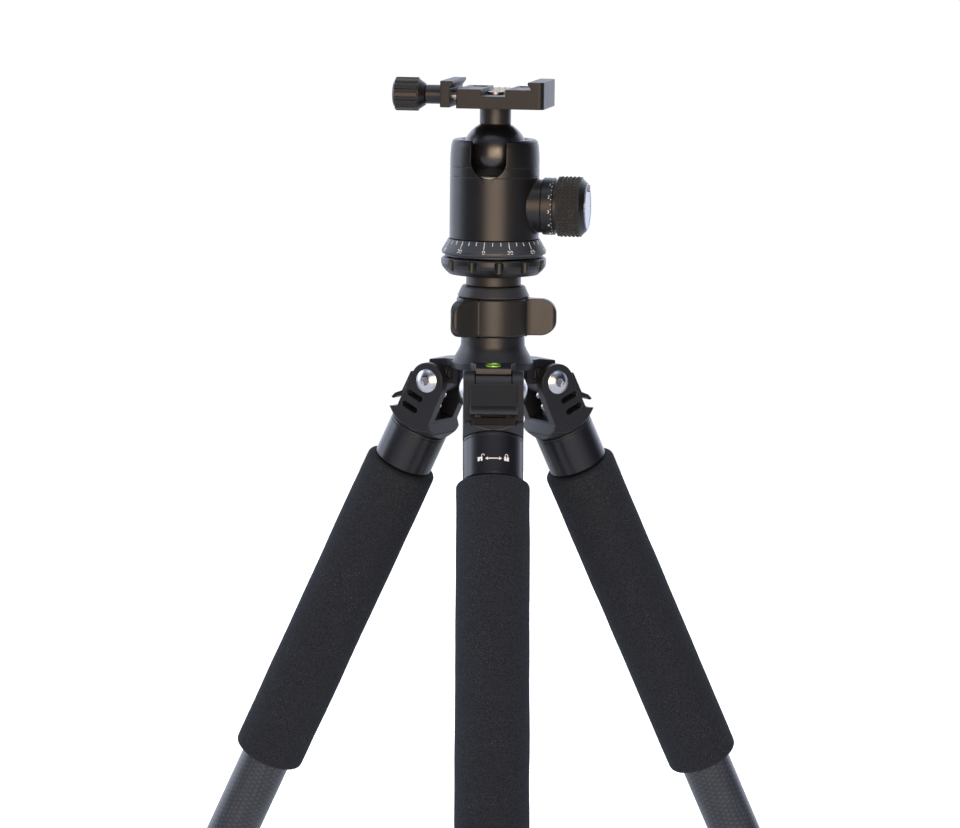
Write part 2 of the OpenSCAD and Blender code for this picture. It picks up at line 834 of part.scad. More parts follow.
module clamp_body() {
    relief_depth = 0.5;
    channel_w = 13.6;
    channel_h = 3.8;
    guide_bore_l = 13;
    color([0.16, 0.15, 0.14])
    on_head()
    difference() {
        intersection() {
            rotate([90, 0, 0])
                linear_extrude(height = 2 * clamp_depth, center = true)
                    polygon(concat([[body_start_x, clamp_z], [body_start_x, seat_z]], lip(fixed_jaw_x, 1),
                                   [[body_end_x, jaw_top], [body_end_x, clamp_z]]));
            clamp_plan(body_start_x, body_end_x, 0.6, 3);
        }
        // Channel across the seat for a plate's stop pins and the level
        translate([-channel_w / 2 + 2, -clamp_depth, seat_z - channel_h])
            cube([channel_w, 2 * clamp_depth, channel_h + overrun]);
        // Long relief in the seat on each side of the channel
        for (x = [body_start_x + 3.2, 11])
            translate([x, -clamp_depth / 2 + 5, seat_z - relief_depth])
                cube([8.6, clamp_depth - 10, 4]);
        // Bore for the bolt into the stem
        translate([0, 0, clamp_z - overrun]) cylinder(h = 20, r = 2.5);
        // Bores for the screw and the two guide pins
        translate([body_start_x - overrun, 0, screw_z])
            rotate([0, 90, 0]) cylinder(h = guide_bore_l + overrun, r = clamp_screw_r + running_fit);
        for (side = [-1, 1])
            translate([body_start_x - overrun, side * guide_spacing / 2, screw_z])
                rotate([0, 90, 0]) cylinder(h = guide_bore_l + overrun, r = guide_r + running_fit);
    }
}

// Upright block over the clamp's depth from x1 to x2, with corners of radius r1 at x1 and r2 at x2
module clamp_plan(x1, x2, r1, r2) {
    half = clamp_depth / 2;
    translate([0, 0, clamp_z - overrun])
        linear_extrude(height = clamp_height + jaw_rise + 2 * overrun)
            polygon(concat(arc(x2 - r2, half - r2, r2, 0, 90), arc(x1 + r1, half - r1, r1, 90, 180),
                           arc(x1 + r1, r1 - half, r1, 180, 270), arc(x2 - r2, r2 - half, r2, 270, 360)));
}

module clamp_bolt() {
    color([0.5, 0.5, 0.52])
    on_head()
    difference() {
        union() {
            ring(stem_top - 13, seat_z - 4, 2.5, 0);
            ring(seat_z - 3.8, seat_z - 2.2, 4.6, 0);
            ring(seat_z - 4, seat_z - 3.8, 2.5, 0);
        }
        translate([0, 0, seat_z - 3.2]) cylinder(h = 3, r = 2.3, $fn = 6);
    }
}

module clamp_level() {
    vial_r = 1.75;
    color([0.7, 0.85, 0.75])
    on_head()
    translate([2, 11.5, seat_z - 3.75])
        union() {
            translate([-5.5, -4, 0]) cube([11, 8, 1.6]);
            translate([-5.5, 0, vial_r + 0.1]) rotate([0, 90, 0]) cylinder(h = 11, r = vial_r);
        }
}

module clamp_jaw() {
    color([0.16, 0.15, 0.14])
    on_head()
    difference() {
        intersection() {
            rotate([90, 0, 0])
                linear_extrude(height = 2 * clamp_depth, center = true)
                    polygon(concat([[jaw_inner_x, clamp_z + 0.4], [jaw_inner_x, seat_z]], lip(jaw_inner_x, -1),
                                   [[jaw_outer_x, jaw_top], [jaw_outer_x, clamp_z + 0.4]]));
            clamp_plan(jaw_outer_x, jaw_inner_x + lip_reach + 1, 0.8, 0.8);
        }
        translate([jaw_outer_x - overrun, 0, screw_z])
            rotate([0, 90, 0]) cylinder(h = jaw_thickness + 4, r = clamp_screw_r + running_fit);
        for (side = [-1, 1])
            translate([jaw_outer_x + 1.2, side * guide_spacing / 2, screw_z])
                rotate([0, 90, 0]) cylinder(h = jaw_thickness + 4, r = guide_r);
    }
}

// Two pins pressed into the moving jaw, which slide in the clamp body
module clamp_guides() {
    color([0.75, 0.76, 0.78])
    on_head()
    for (side = [-1, 1])
        translate([jaw_outer_x + 1.2, side * guide_spacing / 2, screw_z])
            rotate([0, 90, 0]) cylinder(h = jaw_thickness + 11, r = guide_r);
}

module clamp_screw() {
    color([0.7, 0.7, 0.72])
    on_head()
    union() {
        translate([clamp_knob_x - 9, 0, screw_z])
            rotate([0, 90, 0]) cylinder(h = body_start_x + 9.5 - clamp_knob_x + 9, r = clamp_screw_r);
        translate([clamp_knob_x + 0.1, 0, screw_z])
            rotate([0, 90, 0]) cylinder(h = clamp_sleeve_l - 0.2, r = 5.3);
    }
}

module clamp_knob() {
    rib_count = 6;
    color([0.12, 0.12, 0.12])
    on_clamp_screw()
    translate([0, 0, -clamp_knob_x])
        difference() {
            rotate_extrude()
                polygon([
                    [0, 0], [clamp_knob_r - 2.6, 0], [clamp_knob_r - 0.4, 3], [clamp_knob_r, 3.6],
                    [clamp_knob_r, clamp_knob_l - 2], [clamp_knob_r - 1.8, clamp_knob_l], [0, clamp_knob_l]
                ]);
            translate([0, 0, -overrun]) cylinder(h = 10 + overrun, r = clamp_screw_r);
            for (i = [0 : rib_count - 1])
                rotate([0, 0, (i + 0.5) * 360 / rib_count])
                    translate([clamp_knob_r + 1.3, 0, 3.2])
                        cylinder(h = clamp_knob_l - 5, r = 2);
        }
}

// ---------- pieces ----------

leg_yoke(front);  // front_leg_yoke
angle_tab(front);  // front_angle_tab
leg_collar(front);  // front_leg_collar
upper_tube(front);  // front_upper_tube
foam_grip(front);  // front_foam_grip
twist_lock(front, lock_1_start, lock_1_end, upper_r, middle_r);  // front_lock_1
middle_tube(front);  // front_middle_tube
twist_lock(front, lock_2_start, lock_2_end, middle_r, lower_r);  // front_lock_2
lower_tube(front);  // front_lower_tube
foot(front);  // front_foot

leg_yoke(right);  // right_leg_yoke
angle_tab(right);  // right_angle_tab
leg_collar(right);  // right_leg_collar
upper_tube(right);  // right_upper_tube
foam_grip(right);  // right_foam_grip
twist_lock(right, lock_1_start, lock_1_end, upper_r, middle_r);  // right_lock_1
middle_tube(right);  // right_middle_tube
twist_lock(right, lock_2_start, lock_2_end, middle_r, lower_r);  // right_lock_2
lower_tube(right);  // right_lower_tube
foot(right);  // right_foot

leg_yoke(left);  // left_leg_yoke
angle_tab(left);  // left_angle_tab
leg_collar(left);  // left_leg_collar
upper_tube(left);  // left_upper_tube
foam_grip(left);  // left_foam_grip
twist_lock(left, lock_1_start, lock_1_end, upper_r, middle_r);  // left_lock_1
middle_tube(left);  // left_middle_tube
twist_lock(left, lock_2_start, lock_2_end, middle_r, lower_r);  // left_lock_2
lower_tube(left);  // left_lower_tube
foot(left);  // left_foot

spider();
hinge_bolts();
spider_level();
lock_cap();
column_lock();
column_tube();
column_platform();
column_hook();
head_stud();

head_base();
pan_lock_ring();
pan_dial();
pan_retainer();
ball_housing();
ball_seat();
ball_liner();
ball();
ball_stem();
tension_knob();
tension_screw();
knob_grip();
friction_dial();

clamp_body();
clamp_bolt();
clamp_level();
clamp_jaw();
clamp_guides();
clamp_screw();
clamp_knob();
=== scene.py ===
"""Visual model of a photo tripod with a ball head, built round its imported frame."""

import json
import math

import bmesh
import bpy
from bpy.props import FloatProperty, FloatVectorProperty, IntProperty, PointerProperty
from mathutils import Matrix, Vector, noise


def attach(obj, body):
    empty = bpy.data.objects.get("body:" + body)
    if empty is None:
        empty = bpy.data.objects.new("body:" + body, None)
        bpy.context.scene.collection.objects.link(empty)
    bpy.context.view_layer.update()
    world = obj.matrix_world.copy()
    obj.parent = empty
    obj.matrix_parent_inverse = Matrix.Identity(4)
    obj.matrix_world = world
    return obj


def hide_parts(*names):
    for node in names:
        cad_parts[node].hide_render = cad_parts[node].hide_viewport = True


bl_info = {
    "name": "Photo tripod with ball head",
    "version": (1, 0, 0),
    "blender": (4, 5, 0),
    "location": "3D View > Sidebar > Tripod",
    "description": "Builds the visible pieces and finishes of a photo tripod round its packed frame",
    "category": "Add Mesh",
}

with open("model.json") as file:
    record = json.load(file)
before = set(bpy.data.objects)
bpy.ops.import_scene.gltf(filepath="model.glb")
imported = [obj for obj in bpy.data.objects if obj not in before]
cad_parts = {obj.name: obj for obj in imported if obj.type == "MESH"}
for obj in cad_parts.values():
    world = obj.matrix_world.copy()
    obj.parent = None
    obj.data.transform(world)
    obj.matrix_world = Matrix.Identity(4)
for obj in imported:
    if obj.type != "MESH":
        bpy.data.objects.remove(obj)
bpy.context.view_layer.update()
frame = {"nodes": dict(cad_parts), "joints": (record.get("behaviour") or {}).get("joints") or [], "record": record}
MM = 0.001
JOINTS = {joint["name"]: joint for joint in frame["joints"]}
LEGS = ("front", "right", "left")
HINGE_HEIGHT = JOINTS["front_leg_fold"]["pos_m"][2]
HEAD_X = Vector(JOINTS["jaw_slide"]["axis"])
UP = Vector((0, 0, 1))
SMOOTH_ANGLE = math.radians(35)


# ---------- places ----------


def seat(origin, x, z):
    """A place for a piece: the matrix takes millimetres on the seat to metres in the frame."""
    x, z = Vector(x).normalized(), Vector(z).normalized()
    turn = Matrix((x, z.cross(x), z)).transposed().to_4x4()
    return Matrix.Translation(Vector(origin)) @ turn @ Matrix.Scale(MM, 4)


def level_with(joint):
    """The point on the column axis at a joint's height."""
    return 0, 0, JOINTS[joint]["pos_m"][2]


# Heights on the column and head seats are measured from the leg hinges, as in the design.
COLUMN = seat((0, 0, HINGE_HEIGHT), (1, 0, 0), UP)
HEAD = seat((0, 0, HINGE_HEIGHT), HEAD_X, UP)
KNOB = seat(level_with("tension_knob_turn"), UP, HEAD_X)
SCREW = seat(level_with("clamp_knob_turn"), UP, -HEAD_X)
# On a leg, Z runs down the tube, X along the hinge and Y outwards.
LEG = {
    leg: seat(JOINTS[leg + "_leg_fold"]["pos_m"], JOINTS[leg + "_leg_fold"]["axis"],
              JOINTS[leg + "_middle_slide"]["axis"])
    for leg in LEGS
}


def reach(node, place):
    """Lowest and highest corner of a CAD node on a seat, and its widest and narrowest radius there."""
    inverse = place.inverted()
    points = [inverse @ vertex.co for vertex in frame["nodes"][node].data.vertices]
    low = Vector([min(point[i] for point in points) for i in range(3)])
    high = Vector([max(point[i] for point in points) for i in range(3)])
    radii = [math.hypot(point.x, point.y) for point in points]
    return low, high, max(radii), min(radii)


# ---------- mesh making ----------


def rounded(points, radius=0.4, closed=True, steps=4):
    """An outline with rounded corners. A point's third value, where it has one, is its own radius."""
    outline = []
    for i, point in enumerate(points):
        here = Vector(point[:2])
        wanted = point[2] if len(point) > 2 else radius
        if wanted <= 0 or (not closed and i in (0, len(points) - 1)):
            outline.append(here)
            continue
        back = Vector(points[i - 1][:2]) - here
        on = Vector(points[(i + 1) % len(points)][:2]) - here
        cut = min(wanted / math.tan(back.angle(on) / 2), 0.45 * back.length, 0.45 * on.length)
        start, end = here + back.normalized() * cut, here + on.normalized() * cut
        for k in range(steps + 1):
            t = k / steps
            outline.append(start.lerp(here, t).lerp(here.lerp(end, t), t))
    return outline


def arc(x, y, radius, first, last, steps=12):
    """Points along an arc, from one angle in degrees to another."""
    turns = [math.radians(first + (last - first) * k / steps) for k in range(steps + 1)]
    return [(x + radius * math.cos(turn), y + radius * math.sin(turn)) for turn in turns]


def turned(profile, segments=96, shape=None):
    """A mesh turned round Z from (radius, height) points, closed on itself or ending on the axis.

    Its UV map runs round the piece and along the profile, both in metres. shape moves a point,
    given its angle, radius and height."""
    shape = shape or (lambda angle, radius, height: (radius, height))
    mesh = bmesh.new()
    uv = mesh.loops.layers.uv.new("UVMap")
    rings, travel, widest = [], [0.0], max(point[0] for point in profile)
    for k, (radius, height) in enumerate(profile):
        if k:
            travel.append(travel[-1] + math.dist(profile[k - 1], profile[k]))
        ring = []
        for turn in range(1 if radius < 1e-6 else segments):
            angle = 2 * math.pi * turn / segments
            r, z = shape(angle, radius, height)
            ring.append(mesh.verts.new((r * math.cos(angle), r * math.sin(angle), z)))
        rings.append(ring)
    bands = list(zip(range(len(rings) - 1), range(1, len(rings))))
    if len(rings[0]) > 1:
        bands.append((len(rings) - 1, 0))
    for a, b in bands:
        low, high = rings[a], rings[b]
        if len(low) == len(high) == 1:
            continue
        far = travel[b] if b else travel[a] + math.dist(profile[a], profile[b])
        for turn in range(segments):
            after = turn + 1
            corners = [(low[turn % len(low)], turn, travel[a]), (low[after % len(low)], after, travel[a]),
                       (high[after % len(high)], after, far), (high[turn % len(high)], turn, far)]
            if len(low) == 1:
                corners.pop(1)
            elif len(high) == 1:
                corners.pop(2)
            face = mesh.faces.new([corner[0] for corner in corners])
            for loop, (_, step, along) in zip(face.loops, corners):
                loop[uv].uv = (2 * math.pi * widest * MM * step / segments, along * MM)
    bmesh.ops.recalc_face_normals(mesh, faces=mesh.faces)
    return mesh


def prism(outline, low, high):
    """A mesh of an outline drawn in X and Y, from one height to another."""
    mesh = bmesh.new()
    base = [mesh.verts.new((point[0], point[1], low)) for point in outline]
    top = [mesh.verts.new((point[0], point[1], high)) for point in outline]
    mesh.faces.new(base[::-1])
    mesh.faces.new(top)
    for i in range(len(base)):
        k = (i + 1) % len(base)
        mesh.faces.new((base[i], base[k], top[k], top[i]))
    bmesh.ops.recalc_face_normals(mesh, faces=mesh.faces)
    return mesh


def block(low, high):
    """A box mesh between two corners."""
    (x1, y1, z1), (x2, y2, z2) = low, high
    return prism([(x1, y1), (x2, y1), (x2, y2), (x1, y2)], z1, z2)


def moved(mesh, matrix):
    """The same mesh, moved."""
    mesh.transform(matrix)
    return mesh


def turn_about(axis, degrees):
    return Matrix.Rotation(math.radians(degrees), 4, axis)


def thing(mesh, name="work"):
    """An object in the scene made of a mesh."""
    data = bpy.data.meshes.new(name)
    mesh.to_mesh(data)
    mesh.free()
    made = bpy.data.objects.new(name, data)
    bpy.context.scene.collection.objects.link(made)
    return made


def settle(made):
    """Turns an object with modifiers into a plain mesh."""
    bpy.context.view_layer.update()
    shape = made.evaluated_get(bpy.context.evaluated_depsgraph_get())
    data, old = bpy.data.meshes.new_from_object(shape), made.data
    made.modifiers.clear()
    made.data = data
    bpy.data.meshes.remove(old)
    return made


def combine(made, tool, operation="DIFFERENCE"):
    """Cuts a mesh out of an object, or joins it on, and keeps nothing of the tool."""
    tool = thing(tool)
    modifier = made.modifiers.new("combine", "BOOLEAN")
    modifier.object = tool
    modifier.operation = operation
    modifier.solver = "EXACT"
    settle(made)
    bpy.data.objects.remove(tool)
    return made


def ease_edges(made, width, angle=32, segments=2):
    """Rounds every edge that turns by more than an angle in degrees."""
    modifier = made.modifiers.new("edges", "BEVEL")
    modifier.width = width
    modifier.segments = segments
    modifier.limit_method = "ANGLE"
    modifier.angle_limit = math.radians(angle)
    modifier.use_clamp_overlap = False
    modifier.miter_outer = "MITER_ARC"
    return settle(made)


def join(name, things):
    """One object made of several."""
    mesh = bmesh.new()
    mesh.loops.layers.uv.new("UVMap")
    for made in things:
        mesh.from_mesh(made.data)
        bpy.data.objects.remove(made)
    return thing(mesh, name)


def of_node(node, place, width=0.3):
    """The shape of a CAD node on a seat, merged and with its edges eased."""
    mesh = bmesh.new()
    mesh.from_mesh(frame["nodes"][node].data)
    mesh.transform(place.inverted())
    bmesh.ops.remove_doubles(mesh, verts=mesh.verts, dist=1e-3)
    bmesh.ops.dissolve_limit(mesh, angle_limit=math.radians(0.6), verts=mesh.verts, edges=mesh.edges)
    made = thing(mesh)
    return ease_edges(made, width) if width else made


BODY_OF = {node: body for body, nodes in frame["record"]["behaviour"]["bodies"].items() for node in nodes}
SLOT_OF = {part["node"]: part["material_slot"] for part in frame["record"]["subparts"]}


def piece(made, name, place, body, look, replaces=()):
    """Puts a finished piece in its place, gives it its finish, and ties it to its body."""
    made.name = made.data.name = name
    made.data.transform(place)
    made.data.materials.clear()
    made.data.materials.append(look)
    for face in made.data.polygons:
        face.material_index = 0
        face.use_smooth = True
    made.data.set_sharp_from_angle(angle=SMOOTH_ANGLE)
    flow = made.modifiers.new("flow", "WEIGHTED_NORMAL")
    flow.keep_sharp = True
    settle(made)
    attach(made, body)
    if replaces:
        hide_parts(*replaces)
    return made


def stand_for(node, made, place, look=None):
    """A piece that takes a CAD node's place, on its body and in its slot."""
    slot = SLOT_OF[node]
    return piece(made, node + "_detail", place, BODY_OF[node], finish(look or slot), [node])


def turned_piece(node, place, profile, segments=96, look=None, shape=None):
    """A turned piece that takes a CAD node's place."""
    return stand_for(node, thing(turned(profile, segments, shape)), place, look)


# ---------- repeats ----------


def repeat_tree():
    """Geometry nodes that set copies of a piece round Z, in rows along Z."""
    name = "repeat_round"
    if name in bpy.data.node_groups:
        return bpy.data.node_groups[name]
    tree = bpy.data.node_groups.new(name, "GeometryNodeTree")
    tree.interface.new_socket("Geometry", in_out="OUTPUT", socket_type="NodeSocketGeometry")
    for label, kind in (("Piece", "Object"), ("Around", "Int"), ("Rows", "Int"), ("Step", "Float"),
                        ("Start", "Float"), ("Rise", "Float"), ("Stagger", "Float"),
                        ("Finish", "Material")):
        tree.interface.new_socket(label, in_out="INPUT", socket_type="NodeSocket" + kind)

    def node(kind, links=(), **settings):
        made = tree.nodes.new(kind)
        for key, value in settings.items():
            setattr(made, key, value)
        for socket, value in links:
            if isinstance(value, bpy.types.NodeSocket):
                tree.links.new(value, made.inputs[socket])
            else:
                made.inputs[socket].default_value = value
        return made

    def math_node(operation, a, b):
        return node("ShaderNodeMath", ((0, a), (1, b)), operation=operation).outputs[0]

    given = node("NodeGroupInput").outputs
    index = node("GeometryNodeInputIndex").outputs[0]
    total = math_node("MULTIPLY", given["Around"], given["Rows"])
    row = math_node("FLOOR", math_node("DIVIDE", math_node("ADD", index, 0.5), given["Around"]), 0.0)
    column = math_node("SUBTRACT", index, math_node("MULTIPLY", row, given["Around"]))
    shift = math_node("MULTIPLY", math_node("MODULO", row, 2.0), given["Stagger"])
    turn = math_node("ADD", math_node("MULTIPLY", math_node("ADD", column, shift), given["Step"]),
                     given["Start"])
    rise = node("ShaderNodeCombineXYZ", (("Z", math_node("MULTIPLY", row, given["Rise"])),)).outputs[0]
    points = node("GeometryNodePoints", (("Count", total), ("Position", rise))).outputs[0]
    shape = node("GeometryNodeObjectInfo", (("Object", given["Piece"]),), transform_space="ORIGINAL")
    angle = node("ShaderNodeCombineXYZ", (("Z", turn),)).outputs[0]
    copies = node("GeometryNodeInstanceOnPoints", (
        ("Points", points), ("Instance", shape.outputs["Geometry"]), ("Rotation", angle))).outputs[0]
    real = node("GeometryNodeRealizeInstances", (("Geometry", copies),)).outputs[0]
    done = node("GeometryNodeSetMaterial", (("Geometry", real), ("Material", given["Finish"]))).outputs[0]
    node("NodeGroupOutput", (("Geometry", done),))
    return tree


def repeated(shape, look, around, start=0.0, step=None, rows=1, rise=0.0, stagger=0.0):
    """A plain mesh object of copies of a mesh, set round Z by the geometry nodes. Angles in degrees."""
    template = thing(shape, "template")
    made = bpy.data.objects.new("repeat", bpy.data.meshes.new("repeat"))
    bpy.context.scene.collection.objects.link(made)
    modifier = made.modifiers.new("repeat", "NODES")
    modifier.node_group = repeat_tree()
    values = {"Piece": template, "Around": around, "Rows": rows, "Rise": rise, "Stagger": stagger,
              "Step": math.radians(step or 360 / around), "Start": math.radians(start), "Finish": look}
    for item in modifier.node_group.interface.items_tree:
        if item.in_out == "INPUT":
            modifier[item.identifier] = values[item.name]
    settle(made)
    bpy.data.objects.remove(template)
    return made


def lettering(text, size, depth=0.05):
    """Raised figures as a mesh object, drawn in X and Y about their own middle, in millimetres."""
    curve = bpy.data.curves.new("figures", "FONT")
    curve.body = text
    curve.size = size
    curve.extrude = depth
    curve.align_x = "CENTER"
    curve.align_y = "CENTER"
    curve.resolution_u = 4
    made = bpy.data.objects.new("figures", curve)
    bpy.context.scene.collection.objects.link(made)
    bpy.context.view_layer.update()
    data = bpy.data.meshes.new_from_object(made.evaluated_get(bpy.context.evaluated_depsgraph_get()))
    bpy.data.objects.remove(made)
    flat = bmesh.new()
    flat.from_mesh(data)
    bpy.data.meshes.remove(data)
    return flat


def wrapped(mesh, radius, height, angle, slope=0.0, sink=0.02):
    """Bends a flat mesh onto a cylinder or cone round Z.

    Its X runs round the axis and its Y up it. slope is the lean of the surface, in degrees
    from upright, towards the axis at the top."""
    lean = math.radians(slope)
    for vertex in mesh.verts:
        x, y, z = vertex.co
        out = radius - y * math.sin(lean) + (z - sink) * math.cos(lean)
        turn = math.radians(angle) + x / radius
        vertex.co = (out * math.cos(turn), out * math.sin(turn),
                     height + y * math.cos(lean) + (z - sink) * math.sin(lean))
    return mesh


# ---------- finishes ----------


class Field:
    """A shader socket that takes Python's arithmetic: each operation adds its Math node."""

    def __init__(self, paint, socket):
        self.paint = paint
        self.socket = socket

    def math(self, operation, *others):
        return self.paint.node("ShaderNodeMath", {"operation": operation}, dict(enumerate(others)))

    def __add__(self, other):
        return self.math("ADD", self, other)

    def __radd__(self, other):
        return self.math("ADD", other, self)

    def __sub__(self, other):
        return self.math("SUBTRACT", self, other)

    def __rsub__(self, other):
        return self.math("SUBTRACT", other, self)

    def __mul__(self, other):
        return self.math("MULTIPLY", self, other)

    def __rmul__(self, other):
        return self.math("MULTIPLY", other, self)

    def __truediv__(self, other):
        return self.math("DIVIDE", self, other)

    def __pow__(self, other):
        return self.math("POWER", self, other)

    def wave(self):
        return self.math("SINE", self)

    def clamped(self, low, high):
        """Falls on a smooth slope from 0 below low to 1 above high."""
        settings = {"interpolation_type": "SMOOTHSTEP"}
        return self.paint.node("ShaderNodeMapRange", settings,
                               {"Value": self, "From Min": low, "From Max": high})


class Paint:
    """The nodes of one material or of the world."""

    def __init__(self, owner):
        owner.use_nodes = True
        self.owner = owner
        self.tree = owner.node_tree
        self.tree.nodes.clear()

    def node(self, kind, settings=None, values=None, output=0):
        """Adds a node: its settings first, then the values or links of its sockets."""
        made = self.tree.nodes.new(kind)
        for key, value in (settings or {}).items():
            setattr(made, key, value)
        for socket, value in (values or {}).items():
            if isinstance(value, Field):
                self.tree.links.new(value.socket, made.inputs[socket])
            elif hasattr(value, "__len__") and len(value) == 3 and made.inputs[socket].type == "RGBA":
                made.inputs[socket].default_value = (*value, 1)
            else:
                made.inputs[socket].default_value = value
        return Field(self, made.outputs[output]) if made.outputs else None

    def place(self, source="Object"):
        return self.node("ShaderNodeTexCoord", output=source)

    def parts(self, vector):
        return [self.node("ShaderNodeSeparateXYZ", {}, {0: vector}, axis) for axis in range(3)]

    def noise(self, scale, detail=2.0, vector=None, roughness=0.5):
        """Noise about as coarse as 1 / scale metres."""
        return self.node("ShaderNodeTexNoise", {}, {
            "Vector": vector or self.place(), "Scale": scale, "Detail": detail, "Roughness": roughness})

    def mix(self, share, first, second):
        """A colour between two colours."""
        return self.node("ShaderNodeMix", {"data_type": "RGBA"}, {0: share, 6: first, 7: second}, 2)

    def stretched(self, scales, source="Object"):
        """Coordinates with each axis scaled by its own amount."""
        return self.node("ShaderNodeMapping", {}, {"Vector": self.place(source), "Scale": scales})

    def worn(self, width):
        """1 on edges narrower than a width in metres, 0 on open faces, and the eased normal there."""
        eased = self.node("ShaderNodeBevel", {"samples": 4}, {"Radius": width})
        normal = self.node("ShaderNodeNewGeometry", output="Normal")
        facing = self.node("ShaderNodeVectorMath", {"operation": "DOT_PRODUCT"}, {0: eased, 1: normal}, 1)
        return (1 - facing).clamped(0.01, 0.16), eased

    def bump(self, height, depth, strength=1.0, normal=None):
        """A Bump node whose full height is a depth in metres."""
        values = {"Height": height, "Distance": depth, "Strength": strength}
        if normal:
            values["Normal"] = normal
        return self.node("ShaderNodeBump", {}, values)

    def surface(self, **values):
        """The material's Principled shader, with sockets named as in Blender."""
        shader = self.node("ShaderNodeBsdfPrincipled", {}, {key.replace("_", " "): value
                                                             for key, value in values.items()})
        self.node("ShaderNodeOutputMaterial", {}, {"Surface": shader})
        return self.owner


FINISHES = {}


def finish(name):
    """The finished material of a name, made once."""
    if name not in FINISHES:
        maker, options = RECIPES[name]
        FINISHES[name] = maker(Paint(bpy.data.materials.new(name)), **options)
    return FINISHES[name]


def sprayed(paint, colour, rough=0.4, grain=2600, depth=0.00002, wear=0.5, **fixed):
    """Satin coat or black anodising on metal: fine grain, cloudy sheen, and edges rubbed paler."""
    look = bpy.context.scene.tripod_look
    edge, eased = paint.worn(look.edge_width)
    cloud = paint.noise(45, 3)
    fine = paint.noise(grain, 2)
    base = paint.mix(cloud, [channel * 0.85 for channel in colour], [channel * 1.2 for channel in colour])
    worn = paint.mix(edge * wear, base, look.worn_colour)
    return paint.surface(
        Base_Color=worn, Roughness=rough - 0.05 + cloud * 0.1 + fine * 0.06 - edge * 0.08,
        Normal=paint.bump(fine, depth, normal=eased), **fixed)


def brushed(paint, colour, rough=0.2, streaks=(300, 300, 9000), **fixed):
    """Polished or brushed bare metal, with fine lines along one direction."""
    lines = paint.noise(1.0, 3, paint.stretched(streaks))
    _, eased = paint.worn(0.00025)
    tint = paint.mix(lines, [channel * 0.8 for channel in colour], colour)
    return paint.surface(Base_Color=tint, Metallic=1.0, Roughness=rough + lines * 0.15,
                         Normal=paint.bump(lines, 0.000004, normal=eased), **fixed)


def rubbery(paint, colour, rough=0.7, grain=1800, depth=0.00004):
    """Moulded rubber: matt, finely pitted, a little dusty."""
    fine = paint.noise(grain, 3)
    dust = (paint.noise(160, 4) - 0.45).clamped(0.0, 0.3)
    base = paint.mix(dust * 0.25, colour, (0.07, 0.07, 0.072))
    return paint.surface(Base_Color=base, Roughness=rough + fine * 0.15,
                         Normal=paint.bump(fine, depth), Sheen_Weight=0.1, Sheen_Roughness=0.5)


def foamed(paint, colour):
    """Closed-cell foam: a matt skin of small cells, with pale grains of dust caught in it."""
    look = bpy.context.scene.tripod_look
    cells = paint.node("ShaderNodeTexVoronoi", {}, {"Vector": paint.place(), "Scale": look.foam_cells})
    soft = paint.noise(look.foam_cells * 0.45, 4)
    patch = paint.noise(70, 3)
    specks = paint.node("ShaderNodeTexVoronoi", {},
                        {"Vector": paint.place(), "Scale": 900.0, "Randomness": 1.0})
    lit = (0.16 - specks).clamped(0.0, 0.1) * (patch - 0.42).clamped(0.0, 0.22)
    grain = (soft * 0.5 + cells * 0.8).clamped(0.2, 0.9)
    mottle = paint.mix(grain, [channel * 0.35 for channel in colour], [channel * 2.4 for channel in colour])
    base = paint.mix(lit * 0.55, mottle, (0.34, 0.34, 0.33))
    height = cells * 0.7 + soft * 0.5
    return paint.surface(Base_Color=base, Roughness=0.88 + soft * 0.1, Specular_IOR_Level=0.22,
                         Normal=paint.bump(height, 0.00016, 0.9))


def laminate(paint, colour):
    """Carbon laminate under a satin clear coat: fine fibres along the tube and faint crossing plies."""
    along = paint.noise(1.0, 4, paint.stretched((1500, 60, 1), "UV"))
    u, v, _ = paint.parts(paint.place("UV"))
    weave = (((v + u * 0.5) * 2100).wave() * 0.5 + 0.5) * (((v - u * 0.5) * 2100).wave() * 0.5 + 0.5)
    tone = (along * 0.75 + weave * 0.25).clamped(0.25, 0.8)
    base = paint.mix(tone, [channel * 0.4 for channel in colour], [channel * 2.2 for channel in colour])
    return paint.surface(Base_Color=base, Roughness=0.36 + along * 0.2, Coat_Weight=0.35,
                         Coat_Roughness=0.25,
                         Normal=paint.bump(along * 0.6 + weave * 0.4, 0.00003))


def printed(paint, colour):
    """White filled engraving, slightly uneven, with a painted glow: it gives off a little light of its own colour,
    though it is no lamp.
    """
    uneven = paint.noise(3000, 3)
    base = paint.mix(uneven, [channel * 0.75 for channel in colour], colour)
    # painted glow: Emission of the print's own colour makes the marks brighter than the lamps alone make them.
    return paint.surface(Base_Color=base, Roughness=0.55 + uneven * 0.1, Emission_Color=base,
                         Emission_Strength=0.15)


def bubble_glass(paint, colour, glow=0.0):
    """A level's vial: tinted liquid behind clear plastic, with its own depth of colour and a painted glow of that
    colour, set by glow, though it is no lamp.
    """
    depth = paint.noise(500, 2)
    base = paint.mix(depth, [channel * 0.8 for channel in colour], colour)
    # painted glow: Emission of the vial's own colour stands in for light shining through the liquid and the
    # bubble.
    return paint.surface(Base_Color=base, Roughness=0.12 + depth * 0.05, Coat_Weight=1.0,
                         Coat_Roughness=0.03,
                         Emission_Color=base, Emission_Strength=glow)


def moulded(paint, colour, rough=0.5):
    """Plain moulded plastic with a faint grain."""
    fine = paint.noise(2200, 2)
    base = paint.mix(fine, [channel * 0.9 for channel in colour], colour)
    return paint.surface(Base_Color=base, Roughness=rough + fine * 0.1, Normal=paint.bump(fine, 0.00001))


